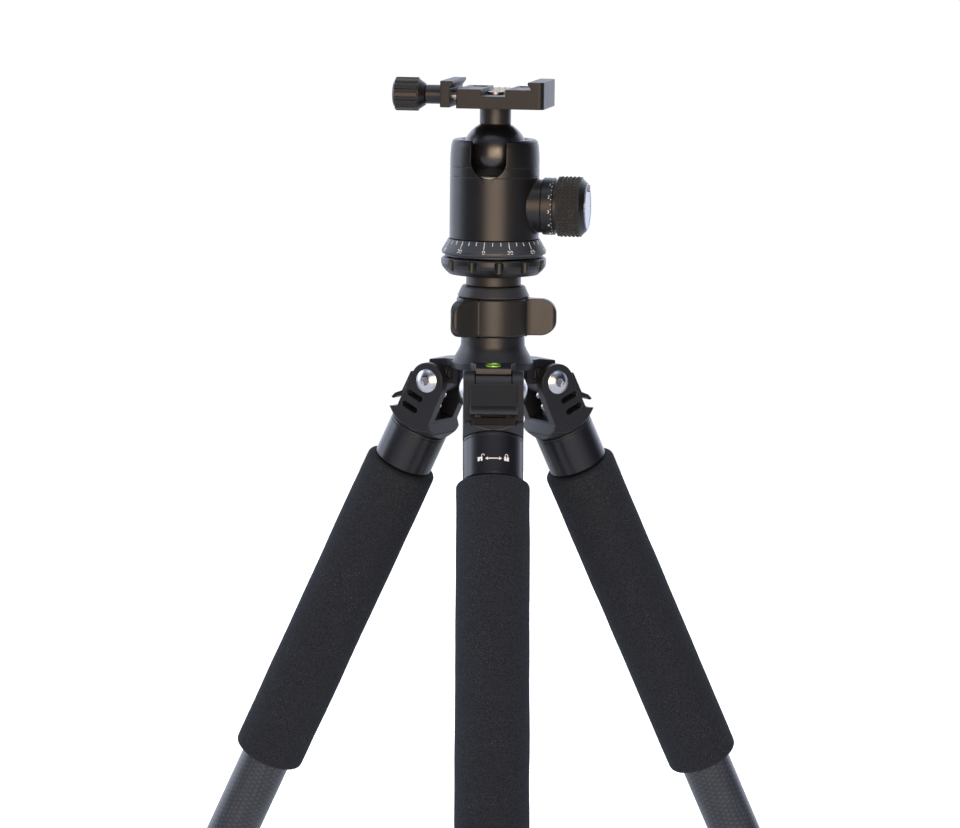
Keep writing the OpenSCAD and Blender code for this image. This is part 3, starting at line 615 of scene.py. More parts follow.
RECIPES = {
    "black_casting": (sprayed, {"colour": (0.010, 0.011, 0.015), "rough": 0.38, "grain": 1800,
                                "depth": 0.00003}),
    "black_anodised": (sprayed, {"colour": (0.006, 0.006, 0.007), "rough": 0.33}),
    "leg_collar": (sprayed, {"colour": (0.008, 0.009, 0.013), "rough": 0.28}),
    "grey_scale": (sprayed, {"colour": (0.030, 0.036, 0.047), "rough": 0.4}),
    "grey_anodised": (sprayed, {"colour": (0.030, 0.034, 0.043), "rough": 0.4}),
    "warm_anodised": (sprayed, {"colour": (0.017, 0.015, 0.014), "rough": 0.36}),
    "clamp_anodised": (sprayed, {"colour": (0.007, 0.007, 0.0075), "rough": 0.42,
                                 "Specular_IOR_Level": 0.36}),
    "polished_black": (sprayed, {"colour": (0.003, 0.003, 0.004), "rough": 0.27, "depth": 0.000002,
                                 "wear": 0.0, "Specular_IOR_Level": 0.9}),
    "polished_steel": (brushed, {"colour": (0.66, 0.66, 0.68), "rough": 0.18}),
    "dial_steel": (brushed, {"colour": (0.36, 0.37, 0.40), "rough": 0.3}),
    "steel": (brushed, {"colour": (0.42, 0.42, 0.43), "rough": 0.28}),
    "brass_thread": (brushed, {"colour": (0.72, 0.56, 0.30), "rough": 0.25}),
    "carbon_tube": (laminate, {"colour": (0.022, 0.027, 0.036)}),
    "foam": (foamed, {"colour": (0.0105, 0.0125, 0.0165)}),
    "black_rubber": (rubbery, {"colour": (0.012, 0.012, 0.012)}),
    "foot_rubber": (rubbery, {"colour": (0.014, 0.014, 0.014), "rough": 0.75, "grain": 1100}),
    # painted glow: the print, the level's vials and its bubble give off light of their own colour, set here,
    # though none is a lamp.
    "scale_print": (printed, {"colour": (0.85, 0.86, 0.84)}),
    "level_green": (bubble_glass, {"colour": (0.35, 0.78, 0.06), "glow": 0.25}),
    "level_clear": (bubble_glass, {"colour": (0.62, 0.66, 0.60), "glow": 0.05}),
    "bubble": (bubble_glass, {"colour": (0.80, 0.95, 0.55), "glow": 0.4}),
    "seat_plastic": (moulded, {"colour": (0.6, 0.6, 0.57)}),
    "liner_plastic": (moulded, {"colour": (0.86, 0.86, 0.84), "rough": 0.35}),
}


# ---------- sizes and colours that a user would change ----------


class TripodLook(bpy.types.PropertyGroup):
    """Sizes of the fine detail, and the colours that aren't tied to one finish."""

    edge_width: FloatProperty(name="Edge wear", description="Width of the paler band along metal edges",
                              default=0.00035, min=0.0, unit="LENGTH")
    worn_colour: FloatVectorProperty(name="Worn edge", description="Colour that metal edges wear to",
                                     default=(0.075, 0.078, 0.086), size=3, subtype="COLOR")
    foam_cells: FloatProperty(name="Foam cells", description="Cells of the foam in a metre", default=1900.0)
    foam_ripple: FloatProperty(name="Foam unevenness", description="How far the foam's skin wanders",
                               default=0.00025, min=0.0, unit="LENGTH")
    lock_ribs: IntProperty(name="Lock ribs", description="Ribs round each twist lock", default=28, min=8)
    grip_studs: IntProperty(name="Grip studs", description="Studs round the tension knob", default=44,
                            min=12)
    grip_rows: IntProperty(name="Grip rows", description="Rows of studs on the tension knob", default=5,
                           min=1)
    knob_flutes: IntProperty(name="Clamp knob flutes", description="Flutes round the clamp knob",
                             default=12,
                             min=6)
    print_height: FloatProperty(name="Print height",
                                description="Height of the printed marks, in millimetres",
                                default=0.05, min=0.01)
    floor_colour: FloatVectorProperty(name="Floor", description="Colour of the stage floor",
                                      default=(0.93, 0.93, 0.935), size=3, subtype="COLOR")


class Maker(bpy.types.Operator):
    """Base of the operators: each one runs its make function."""

    bl_options = {"REGISTER", "UNDO"}

    def execute(self, context):
        self.make(context.scene.tripod_look)
        return {"FINISHED"}


# ---------- legs ----------


def tube(node, place, look="carbon_tube"):
    """A tube with its ends broken."""
    low, high, outer, inner = reach(node, place)
    profile = rounded([(inner, low.z), (outer, low.z), (outer, high.z), (inner, high.z)], 0.25)
    return turned_piece(node, place, profile, look=look)


def foam(leg, ripple):
    """Foam sleeve with soft ends and an uneven skin."""
    node, place = leg + "_foam_grip", LEG[leg]
    low, high, outer, inner = reach(node, place)
    skin, ring = [(outer, low.z, 3.4)], 3.0
    skin += [(outer, low.z + k * ring, 0) for k in range(2, int((high.z - low.z) / ring) - 1)]
    profile = rounded([(inner, low.z, 0.5), *skin, (outer, high.z, 3.4), (inner, high.z, 0.5)], steps=6)
    inside = inner + 1.0

    def uneven(angle, radius, height):
        if radius < inside:
            return radius, height
        spot = Vector((math.cos(angle) * 1.6, math.sin(angle) * 1.6, height * 0.045 + LEGS.index(leg) * 9))
        fine = Vector((math.cos(angle) * 9, math.sin(angle) * 9, height * 0.5))
        wander = noise.noise(spot) + 0.35 * noise.noise(fine)
        return radius + wander * ripple / MM, height

    made = turned_piece(node, place, profile, 128, shape=uneven)


def collar(leg):
    """Turned collar under the yoke, with a fine groove near its top."""
    node, place = leg + "_leg_collar", LEG[leg]
    low, high, outer, inner = reach(node, place)
    groove = low.z + 1.7
    profile = rounded([
        (inner, low.z), (outer - 0.6, low.z, 0.1), (outer, low.z + 0.6, 0.3), (outer, groove, 0.05),
        (outer - 0.35, groove + 0.15, 0), (outer - 0.35, groove + 0.4, 0), (outer, groove + 0.55, 0.05),
        (outer, high.z - 1.6, 0.4), (outer - 1.2, high.z, 0.3), (inner, high.z)], 0.1)
    turned_piece(node, place, profile, 128, look="leg_collar")


def padlock(open_shackle):
    """Outline pieces of a small padlock sign, as flat meshes: its body and its bow."""
    half, bow, thick, height = 1.45, 0.95, 0.34, 2.3
    body = prism(rounded([(-half, -height / 2), (half, -height / 2), (half, height / 2),
                          (-half, height / 2)],
                         0.25), 0, 1)
    shift = 1.7 if open_shackle else 0.0
    outer = arc(shift, height / 2 + 0.75, bow, 0, 180)
    inner = arc(shift, height / 2 + 0.75, bow - thick, 180, 0)
    foot = height / 2 - 0.1
    free = foot + (0.65 if open_shackle else 0)
    outline = [(shift + bow, free), *outer, (shift - bow, foot), (shift - bow + thick, foot), *inner,
               (shift + bow - thick, free)]
    return [body, prism(outline, 0, 1)]


def collar_signs(height_mm):
    """Open padlock, double arrow and closed padlock on the front collar, which turns to free its leg."""
    low, high, outer, _ = reach("front_leg_collar", LEG["front"])
    station = low.z + 0.62 * (high.z - low.z)
    head, shaft, thick, spread = 1.5, 3.1, 0.28, 0.95
    half = shaft + head
    arrow = prism([(-half, 0), (-shaft, spread), (-shaft, thick), (shaft, thick), (shaft, spread),
                   (half, 0),
                   (shaft, -spread), (shaft, -thick), (-shaft, -thick), (-shaft, -spread)], 0, 1)
    parts = [(arrow, 0.0)]
    parts += [(mesh, -7.6) for mesh in padlock(True)]
    parts += [(mesh, 7.3) for mesh in padlock(False)]
    made = []
    for mesh, x in parts:
        mesh.transform(Matrix.Translation((x, 0, 0)) @ Matrix.Diagonal((1, 1, height_mm + 0.03, 1)))
        bmesh.ops.subdivide_edges(mesh, edges=[edge for edge in mesh.edges if edge.calc_length() > 1.2],
                                  cuts=2)
        made.append(thing(wrapped(mesh, outer, -station, -90, sink=0.03)))
    piece(join("front_collar_signs", made), "front_collar_signs", LEG["front"] @ turn_about("X", 180),
          "front_collar", finish("scale_print"))


def twist_lock(leg, part, ribs):
    """Twist lock: turned metal ends and a ribbed rubber sleeve between them."""
    node, place = f"{leg}_{part}", LEG[leg]
    low, high, outer, inner = reach(node, place)
    above = reach(leg + ("_upper_tube" if part == "lock_1" else "_middle_tube"), place)[2] + 0.06
    sleeve_start, sleeve_end = low.z + 7.5, high.z - 5.5
    skin = outer - 0.9
    profile = rounded([
        (above, low.z), (above + 1.5, low.z, 0.5), (outer - 0.5, low.z + 4, 0.6), (outer, low.z + 5.6, 0.3),
        (outer, sleeve_start, 0.15), (skin - 0.8, sleeve_start + 0.3, 0.1),
        (skin - 0.8, sleeve_end - 0.3, 0.1),
        (outer, sleeve_end, 0.15), (outer, high.z - 2.2, 0.4), (outer - 1.5, high.z, 0.4), (inner, high.z),
        (inner, high.z - 5.8, 0), (above, high.z - 5.8, 0)], 0.15)
    turned_piece(node, place, profile, look="black_anodised")
    skin_profile = rounded([(skin - 1.0, sleeve_start + 0.2), (skin, sleeve_start + 0.2),
                            (skin, sleeve_end - 0.2), (skin - 1.0, sleeve_end - 0.2)], 0.3)
    width = 2 * math.pi * outer / ribs * 0.3
    rib = prism(rounded([(skin - 0.3, -width), (outer, -width * 0.7, 0.3), (outer, width * 0.7, 0.3),
                         (skin - 0.3, width)], 0.0, steps=3), sleeve_start + 0.9, sleeve_end - 0.9)
    name = f"{node}_sleeve"
    sleeve = join(name, [thing(turned(skin_profile)), repeated(rib, finish("black_rubber"), ribs)])
    piece(sleeve, name, place, BODY_OF[node], finish("black_rubber"))


def foot(leg):
    """Rubber foot: a collar, a neck and a grooved ball."""
    node, place = leg + "_foot", LEG[leg]
    low, high, outer, _ = reach(node, place)
    centre = high.z - outer
    tube_r = reach(leg + "_lower_tube", place)[2]
    ball = [(outer * math.cos(math.radians(a)), centre + outer * math.sin(math.radians(a)))
            for a in range(-32, 90, 4)]
    dented = [(r - 0.5 if k in (10, 14, 18, 22) else r, z) for k, (r, z) in enumerate(ball)]
    neck = outer * 0.9
    profile = rounded([(tube_r, low.z), (neck - 0.8, low.z, 0.4), (neck, low.z + 1.4, 0.5),
                       (neck, centre - 10.6, 0.4), (neck - 1.1, centre - 9.6, 0.4)], 0.2, closed=False)
    plug = [(0.0, high.z), (0.0, centre - outer * 0.3), (tube_r, centre - outer * 0.3)]
    turned_piece(node, place, [*profile, *dented, *plug])


def slotted_yoke(node, place):
    """Yoke with two round-ended slots through each ear, below its bolt."""
    made = of_node(node, place, 0)
    high = reach(node, place)[1]
    edge = 10.2
    for side in (1, -1):
        face = side * high.x
        fill = sorted((face, face - side * 1.4))
        combine(made, block((fill[0], -4.5, 9.2), (fill[1], edge, 20.6)), "UNION")
    mesh = bmesh.new()
    mesh.from_mesh(made.data)
    bmesh.ops.remove_doubles(mesh, verts=mesh.verts, dist=1e-3)
    bmesh.ops.dissolve_limit(mesh, angle_limit=math.radians(0.6), verts=mesh.verts, edges=mesh.edges)
    mesh.to_mesh(made.data)
    mesh.free()
    half, reach_in, reach_out = 1.65, -2.6, 8.2
    for station in (11.4, 18.7):
        outline = [*arc(reach_out - half, station, half, -90, 90, 8),
                   *arc(reach_in + half, station, half, 90, 270, 8)]
        slot = prism([(-z, y) for y, z in outline], -high.x - 5, high.x + 5)
        combine(made, moved(slot, turn_about("Y", 90)))
    return ease_edges(made, 0.4)


class LegMaker(Maker):
    """Build the three legs' tubes, foam, collars, locks, feet, yokes and tabs"""

    bl_idname = "tripod.legs"
    bl_label = "Legs"

    def make(self, look):
        for leg in LEGS:
            for part in ("_upper_tube", "_middle_tube", "_lower_tube"):
                tube(leg + part, LEG[leg])
            foam(leg, look.foam_ripple)
            collar(leg)
            twist_lock(leg, "lock_1", look.lock_ribs)
            twist_lock(leg, "lock_2", look.lock_ribs)
            foot(leg)
            yoke, tab = leg + "_leg_yoke", leg + "_angle_tab"
            stand_for(yoke, slotted_yoke(yoke, LEG[leg]), LEG[leg])
            stand_for(tab, of_node(tab, LEG[leg], 0.3), LEG[leg])
        collar_signs(look.print_height)


# ---------- spider and column ----------


def hinge_bolts():
    """Domed bolt heads with hexagon sockets on both sides of each leg, on their shanks."""
    inverse = LEG["front"].inverted()
    points = [inverse @ vertex.co for vertex in frame["nodes"]["hinge_bolts"].data.vertices]
    end = max(point.x for point in points if math.hypot(point.y, point.z) < 7)
    shank, head_r, head_h = 4.0, 6.6, 2.6
    made = []
    for leg in LEGS:
        across = LEG[leg] @ turn_about("Y", 90)
        for side in (1, -1):
            start = end - head_h
            dome = (head_r * head_r + head_h * head_h) / (2 * head_h)
            cap = [(dome * math.sin(t), end - dome + dome * math.cos(t))
                   for t in (math.asin((head_r - 0.2) / dome) * k / 10 for k in range(11))]
            profile = [(0.0, start), *rounded([(head_r - 0.3, start), (head_r, start + 0.25)],
                                              closed=False),
                       *cap[::-1]]
            profile[-1] = (0.0, end)
            bolt = thing(turned(profile, 64))
            socket = prism(arc(0, 0, 2.35, 0, 300, 5), end - 2.1, end + 2)
            combine(bolt, socket)
            ease_edges(bolt, 0.12, 40)
            bolt.data.transform(across @ (Matrix.Identity(4) if side > 0 else turn_about("X", 180)))
            made.append(bolt)
        rod = thing(turned([(0.0, 1 - end), (shank, 1 - end), (shank, end - 1), (0.0, end - 1)], 48))
        rod.data.transform(across)
        made.append(rod)
    piece(join("hinge_bolts_detail", made), "hinge_bolts_detail", Matrix.Identity(4), "spider",
          finish("polished_steel"), ["hinge_bolts"])


def level_window():
    """Round level: a bezel, the green window and its bubble."""
    low, high, _, _ = reach("spider_level", COLUMN)
    middle = Matrix.Translation(((low.x + high.x) / 2, (low.y + high.y) / 2, 0))
    radius = (high.x - low.x) / 2
    dome = [((radius - 0.4) * math.sin(t), high.z - 0.75 + 0.75 * math.cos(t))
            for t in (math.pi / 2 * k / 8 for k in range(9))]
    window = [(0.0, low.z), (radius - 0.4, low.z), *dome[::-1]]
    window[-1] = (0.0, high.z)
    stand_for("spider_level", thing(moved(turned(window, 48), middle)), COLUMN)
    ring = rounded([(radius - 0.75, high.z - 0.9), (radius + 0.05, high.z - 0.9),
                    (radius + 0.05, high.z - 0.35),
                    (radius - 0.75, high.z - 0.35)], 0.15)
    piece(thing(moved(turned(ring, 48), middle)), "spider_level_bezel", COLUMN, "spider",
          finish("black_anodised"))
    blob = [(1.5 * math.sin(t), high.z + 0.02 + 0.1 * math.cos(t))
            for t in (math.pi * k / 8 for k in range(9))]
    blob[0], blob[-1] = (0.0, high.z + 0.12), (0.0, high.z - 0.08)
    at = middle @ Matrix.Translation((0.7, 0.3, 0))
    piece(thing(moved(turned(blob, 24), at)), "spider_level_bubble", COLUMN, "spider", finish("bubble"))


class SpiderMaker(Maker):
    """Build the spider with its bolts, level and cap"""

    bl_idname = "tripod.spider"
    bl_label = "Spider"

    def make(self, look):
        stand_for("spider", of_node("spider", COLUMN, 0.45), COLUMN)
        hinge_bolts()
        level_window()
        low, high, outer, inner = reach("lock_cap", COLUMN)
        sleeve = reach("column_lock", COLUMN)[3]
        cap = rounded([(inner, high.z - 2.2), (sleeve, high.z - 2.2, 0), (sleeve, low.z),
                       (outer - 0.6, low.z, 0.3),
                       (outer, low.z + 0.7, 0.5), (outer - 2.1, high.z - 0.8, 0.4),
                       (outer - 2.7, high.z, 0.3),
                       (inner, high.z)], 0.1)
        turned_piece("lock_cap", COLUMN, cap, 128, look="grey_anodised")


class ColumnMaker(Maker):
    """Build the column with its lock, platform, hook and stud"""

    bl_idname = "tripod.column"
    bl_label = "Column"

    def make(self, look):
        stand_for("column_lock", of_node("column_lock", COLUMN, 0.5), COLUMN, "warm_anodised")
        tube("column_tube", COLUMN)
        low, high, outer, inner = reach("column_platform", COLUMN)
        skirt = high.z - 6.4
        plug = reach("column_tube", COLUMN)[3] - 0.02
        profile = rounded([(inner, low.z), (plug, low.z), (plug, skirt, 0), (outer - 0.3, skirt, 0.2),
                           (outer, skirt + 0.5, 0.3), (outer, high.z - 1.1, 0.05),
                           (outer - 0.3, high.z - 0.9, 0),
                           (outer - 0.3, high.z - 0.6, 0), (outer, high.z - 0.4, 0.1), (outer, high.z, 0.2),
                           (inner, high.z)], 0.15)
        turned_piece("column_platform", COLUMN, profile, 128, look="warm_anodised")
        stand_for("column_hook", of_node("column_hook", COLUMN, 0), COLUMN)
        frame["nodes"]["head_stud"].data.materials.clear()
        frame["nodes"]["head_stud"].data.materials.append(finish("brass_thread"))


# ---------- panning base ----------


def scale_marks(look, radius, height, slope):
    """Ticks every 10 degrees, a long one every 30, and the figures under the long ones."""
    zero = -90 - 2.6
    thick, lift = 0.16, look.print_height
    span = 4.4

    def tick(length):
        flat = prism([(-thick, -length), (thick, -length), (thick, 0), (-thick, 0)], 0, 1)
        flat.transform(Matrix.Diagonal((1, 1, lift + 0.03, 1)))
        return wrapped(flat, radius, height, zero, slope, 0.03)

    made = [repeated(tick(span), finish("scale_print"), 12)]
    made += [repeated(tick(span / 2), finish("scale_print"), 12, start=turn) for turn in (10, 20)]
    for k in range(12):
        figures = lettering(str(min(k, 12 - k) * 30), 3.2, lift / 2 + 0.015)
        bmesh.ops.translate(figures, verts=figures.verts, vec=(0, -span - 1.75, lift / 2 + 0.015))
        made.append(thing(wrapped(figures, radius, height, zero + k * 30, slope, 0.03)))
    return join("pan_scale_marks", made)


class PanMaker(Maker):
    """Build the head's base, its lock ring and its panning scale"""

    bl_idname = "tripod.pan"
    bl_label = "Panning base"

    def make(self, look):
        stand_for("head_base", of_node("head_base", HEAD, 0), HEAD)
        low, high, outer, inner = reach("pan_lock_ring", HEAD)
        flange = reach("head_base", HEAD)[2] + 0.05
        ring = rounded([
            (inner, low.z + 4.1, 0), (flange, low.z + 4.1, 0), (flange, low.z, 0.1),
            (outer - 4.4, low.z, 0.5),
            (outer - 2.2, low.z + 2, 0.8), (outer - 0.5, low.z + 4.2, 0.8), (outer, low.z + 6, 0.6),
            (outer, high.z - 0.8, 0.5), (outer - 0.8, high.z, 0.3), (inner, high.z, 0.1)], 0.2)
        made = thing(turned(ring, 192))
        for k in range(12):
            bore = turned([(0.0, low.z - 1), (2.5, low.z - 1), (2.5, high.z - 1.5), (2.1, high.z - 0.9),
                           (0.0, high.z - 0.6)], 24)
            middle = Matrix.Translation((outer + 0.35, 0, 0))
            combine(made, moved(bore, turn_about("Z", 15 + 30 * k) @ middle))
        stand_for("pan_lock_ring", ease_edges(made, 0.18, 40), HEAD)

        low, high, outer, inner = reach("pan_dial", HEAD)
        top = 25.5
        slope = math.degrees(math.atan2(outer - 0.6 - top, high.z - low.z - 4.1))
        dial = rounded([
            (inner, low.z), (outer - 1.7, low.z, 0.2), (outer - 1.7, low.z + 0.9, 0.1),
            (outer - 0.3, low.z + 1.3, 0.4),
            (outer, low.z + 2.2, 0.6), (outer - 0.1, low.z + 3.4, 0.5), (outer - 0.6, low.z + 4.1, 0.2),
            (top, high.z, 0.3), (inner, high.z)], 0.15)
        turned_piece("pan_dial", HEAD, dial, 192, look="grey_scale")
        marks = scale_marks(look, top + 0.35 * math.tan(math.radians(slope)), high.z - 0.35, slope)
        piece(marks, "pan_scale_marks", HEAD, BODY_OF["pan_dial"], finish("scale_print"))


# ---------- ball ----------


def housing():
    """Housing: turned case with a rolled rim, its notch, its boss and two fine grooves."""
    low, high, _, _ = reach("ball_housing", HEAD)
    outer, cavity, spigot, mouth = 24.9, 19.95, 13.05, 18.25
    ball_z = level_height("ball_tilt")
    knob_z = level_height("tension_knob_turn")
    lip_r = 19.9
    lip = [(lip_r * math.cos(math.radians(a)), ball_z + lip_r * math.sin(math.radians(a)))
           for a in range(0, 14, 2)]
    boss, boss_end = 14.8, 27.6
    grooves = []
    for z in (ball_z - 12.55, ball_z - 7.15):
        grooves += [(outer, z - 0.25, 0.06), (outer - 0.3, z - 0.12, 0), (outer - 0.3, z + 0.12, 0),
                    (outer, z + 0.25, 0.06)]
    body = [(outer, low.z + 2 * k, 0) for k in range(1, 17) if low.z + 2 * k < ball_z - 13.5]
    profile = rounded([
        (spigot, low.z), (outer - 0.4, low.z, 0.2), (outer, low.z + 0.4, 0.2), *body, *grooves,
        (outer - 0.02, ball_z - 4, 0), (outer - 0.2, ball_z, 0), (outer - 0.55, high.z - 3.6, 1.5),
        (outer - 1.25, high.z - 0.9, 0.8), (outer - 2.6, high.z, 0.6),
        (mouth + 0.9, high.z, 0.5), (mouth, high.z - 1.0, 0.3), (mouth - 0.02, ball_z + 4.7, 0.2),
        *[(r, z, 0) for r, z in lip[::-1]], (cavity, ball_z - 4, 0), (cavity, low.z + 6.9, 0),
        (spigot, low.z + 6.9, 0)], 0.1)
    made = thing(turned(profile, 160))
    sideways = Matrix.Translation((0, 0, knob_z)) @ turn_about("Y", 90)
    stub = turned(rounded([(0.0, 19.97, 0), (boss, 19.97, 0), (boss, boss_end, 0.35), (0.0, boss_end, 0)],
                          0.1, closed=False), 128)
    combine(made, moved(stub, sideways), "UNION")
    half = 10.0
    notch = prism([*arc(0, 0, half, 180, 360, 32), (half, 30), (-half, 30)], 0, 60)
    front = Matrix.Translation((0, 0, ball_z - 3.2)) @ turn_about("X", 90)
    combine(made, moved(notch, front))
    bore = turned([(0.0, 0.0), (4.05, 0.0), (4.05, 40.0), (0.0, 40.0)], 48)
    combine(made, moved(bore, sideways))
    return ease_edges(made, 0.22, 38)


def level_height(joint):
    """Height of a joint above the leg hinges, in millimetres."""
    return (JOINTS[joint]["pos_m"][2] - HINGE_HEIGHT) / MM


class BallMaker(Maker):
    """Build the housing, the ball, its liner and its stem"""

    bl_idname = "tripod.ball"
    bl_label = "Ball and housing"

    def make(self, look):
        stand_for("ball_housing", housing(), HEAD)
        ball_z = level_height("ball_tilt")
        centre = Matrix.Translation((0, 0, ball_z))
        ball_r = reach("ball", HEAD)[2]
        neck = reach("ball_stem", HEAD)[2]
        top = math.acos(neck / ball_r)
        steps = 40
        skin = [(ball_r * math.cos(a), ball_r * math.sin(a))
                for a in (-math.pi / 2 + (top + math.pi / 2) * k / steps for k in range(steps + 1))]
        skin[0] = (0.0, -ball_r)
        well = [(6.0, skin[-1][1]), (6.0, 2.0), (0.0, 2.0)]
        stand_for("ball", thing(moved(turned([*skin, *well], 128), centre)), HEAD)
        low, high, _, _ = reach("ball_liner", centre_seat())
        band = [(r * math.cos(a), r * math.sin(a)) for r, a in liner_points(low.z, high.z - 1.9)]
        stand_for("ball_liner", thing(moved(turned(band, 128), centre)), HEAD)
        low, high, outer, _ = reach("ball_stem", HEAD)
        shoulder = ball_z + skin[-1][1] + 0.1
        stem = rounded([
            (0.0, low.z), (5.95, low.z, 0.3), (5.95, shoulder, 0), (outer - 0.3, shoulder, 0.2),
            (outer, shoulder + 0.4, 0.2), (outer, high.z - 0.5, 0.3), (outer - 0.4, high.z, 0.1),
            (2.5, high.z, 0.1), (2.5, high.z - 14, 0), (0.0, high.z - 14)], 0.1, closed=False)
        turned_piece("ball_stem", HEAD, stem, 128, look="warm_anodised")
        stand_for("ball_seat", of_node("ball_seat", HEAD, 0), HEAD)
        stand_for("pan_retainer", of_node("pan_retainer", HEAD, 0.2), HEAD)


def centre_seat():
    """The head's seat moved up to the ball's centre."""
    return HEAD @ Matrix.Translation((0, 0, level_height("ball_tilt")))


def liner_points(bottom, top):
    """Radius and angle of the points round the liner's section, between two heights."""
    outer, inner, steps = 19.88, 18.27, 8
    points = []
    for radius, start, end in ((outer, bottom, top), (inner, top, bottom)):
        first, last = math.asin(start / radius), math.asin(end / radius)
        points += [(radius, first + (last - first) * k / steps) for k in range(steps + 1)]
    return points


# ---------- tension knob ----------


class KnobMaker(Maker):
    """Build the tension knob, its scale ring, its studded grip and its friction dial"""

    bl_idname = "tripod.knob"
    bl_label = "Tension knob"

    def make(self, look):
        low, high, _, _ = reach("tension_knob", KNOB)
        grip_low, grip_high, grip_r, grip_in = reach("knob_grip", KNOB)
        scale_r = grip_r - 0.9
        recess = reach("friction_dial", KNOB)[2] + 0.05
        scale_end = grip_low.z - 1.8
        shaft = reach("tension_screw", KNOB)[2]
        body = rounded([
            (0.0, low.z + 11, 0), (shaft, low.z + 11, 0), (shaft, low.z, 0.1), (scale_r - 0.4, low.z, 0.15),
            (scale_r, low.z + 0.4, 0.15), (scale_r, scale_end - 0.35, 0.15),
            (scale_r - 0.4, scale_end, 0.1),
            (grip_in - 0.02, scale_end + 0.1, 0.1), (grip_in - 0.02, grip_high.z, 0),
            (grip_r - 0.6, grip_high.z, 0.15),
            (grip_r - 3.5, high.z, 0.3), (recess, high.z, 0.1), (recess, high.z - 3, 0), (0.0, high.z - 3)],
            0.1, closed=False)
        turned_piece("tension_knob", KNOB, body, 160, look="black_anodised")
        stand_for("tension_screw", of_node("tension_screw", KNOB, 0.1), KNOB)

        rows, around = look.grip_rows, look.grip_studs
        stud, margin = 0.55, 0.75
        pitch = (grip_high.z - grip_low.z - 2 * margin) / rows
        half_long, half_wide = pitch * 0.38, math.pi * grip_r / around * 0.68
        base_r = grip_r - stud
        sleeve = rounded([(grip_in, grip_low.z), (base_r + 0.35, grip_low.z, 0.3),
                          (base_r + 0.35, grip_low.z + 0.5, 0.1),
                          (base_r, grip_low.z + 0.8, 0.1), (base_r, grip_high.z - 0.8, 0.1),
                          (base_r + 0.35, grip_high.z - 0.5, 0.1), (base_r + 0.35, grip_high.z, 0.3),
                          (grip_in, grip_high.z)], 0.1)
        pyramid = bmesh.new()
        start = grip_low.z + margin + pitch / 2
        levels = [(base_r - 0.15, 1.0), (grip_r - 0.12, 0.52), (grip_r, 0.40)]
        rings = [[pyramid.verts.new((r, y * half_wide * share, start + z * half_long * share))
                  for y, z in ((-1, -1), (1, -1), (1, 1), (-1, 1))] for r, share in levels]
        for a, b in zip(rings, rings[1:]):
            for i in range(4):
                pyramid.faces.new((a[i], a[(i + 1) % 4], b[(i + 1) % 4], b[i]))
        pyramid.faces.new(rings[-1])
        pyramid.faces.new(rings[0][::-1])
        bmesh.ops.recalc_face_normals(pyramid, faces=pyramid.faces)
        studs = repeated(pyramid, finish("black_rubber"), around, rows=rows, rise=pitch)
        grip = join("knob_grip_detail", [thing(turned(sleeve, 160)), studs])
        stand_for("knob_grip", grip, KNOB)
        self.scale(look.print_height, scale_end, scale_r)
        self.dial()

    def scale(self, lift, end, radius):
        """Figures and ticks round the knob's scale ring."""
        marks = []
        for k in range(12):
            figures = lettering(str(k), 2.5, lift / 2 + 0.015)
            figures.transform(turn_about("Z", 90))
            bmesh.ops.translate(figures, verts=figures.verts, vec=(0, end - 2.0, lift / 2 + 0.015))
            marks.append(thing(wrapped(figures, radius, 0, 30 * k + 7, sink=0.03)))
        tick = prism([(-0.13, end - 1.0), (0.13, end - 1.0), (0.13, end - 0.45), (-0.13, end - 0.45)], 0, 1)
        tick.transform(Matrix.Diagonal((1, 1, lift + 0.03, 1)))
        marks.append(repeated(wrapped(tick, radius, 0, 0, sink=0.03), finish("scale_print"), 36, start=2))
        piece(join("tension_scale_marks", marks), "tension_scale_marks", KNOB, BODY_OF["tension_knob"],
              finish("scale_print"))

    def dial(self):
        """Polished disc in the knob's end, with its little ribbed thumb wheel."""
        low, high, outer, _ = reach("friction_dial", KNOB)
        face = high.z - 1.0
        disc = rounded([(0.0, low.z), (outer, low.z, 0.1), (outer, face - 0.3, 0.05),
                        (outer - 0.3, face, 0.1),
                        (outer - 1.6, face, 0.05), (outer - 1.8, face - 0.15, 0), (0.0, face - 0.15)],
                       0.1, closed=False)
        wheel_r = 2.0
        wheel = thing(turned(rounded([(0.0, face - 0.5), (wheel_r - 0.15, face - 0.5),
                                      (wheel_r - 0.15, high.z, 0.2),
                                      (0.0, high.z)], 0.1, closed=False), 32))
        rib = prism([(wheel_r - 0.3, -0.14), (wheel_r, -0.07), (wheel_r, 0.07), (wheel_r - 0.3, 0.14)],
                    face - 0.4, high.z - 0.15)
        ribs = repeated(rib, finish("polished_steel"), 18)
        for made in (wheel, ribs):
            made.data.transform(Matrix.Translation((outer - 2.4, 0, 0)))
        made = join("friction_dial_detail", [thing(turned(disc, 128)), wheel, ribs])
        stand_for("friction_dial", made, KNOB, "dial_steel")


# ---------- quick-release clamp ----------


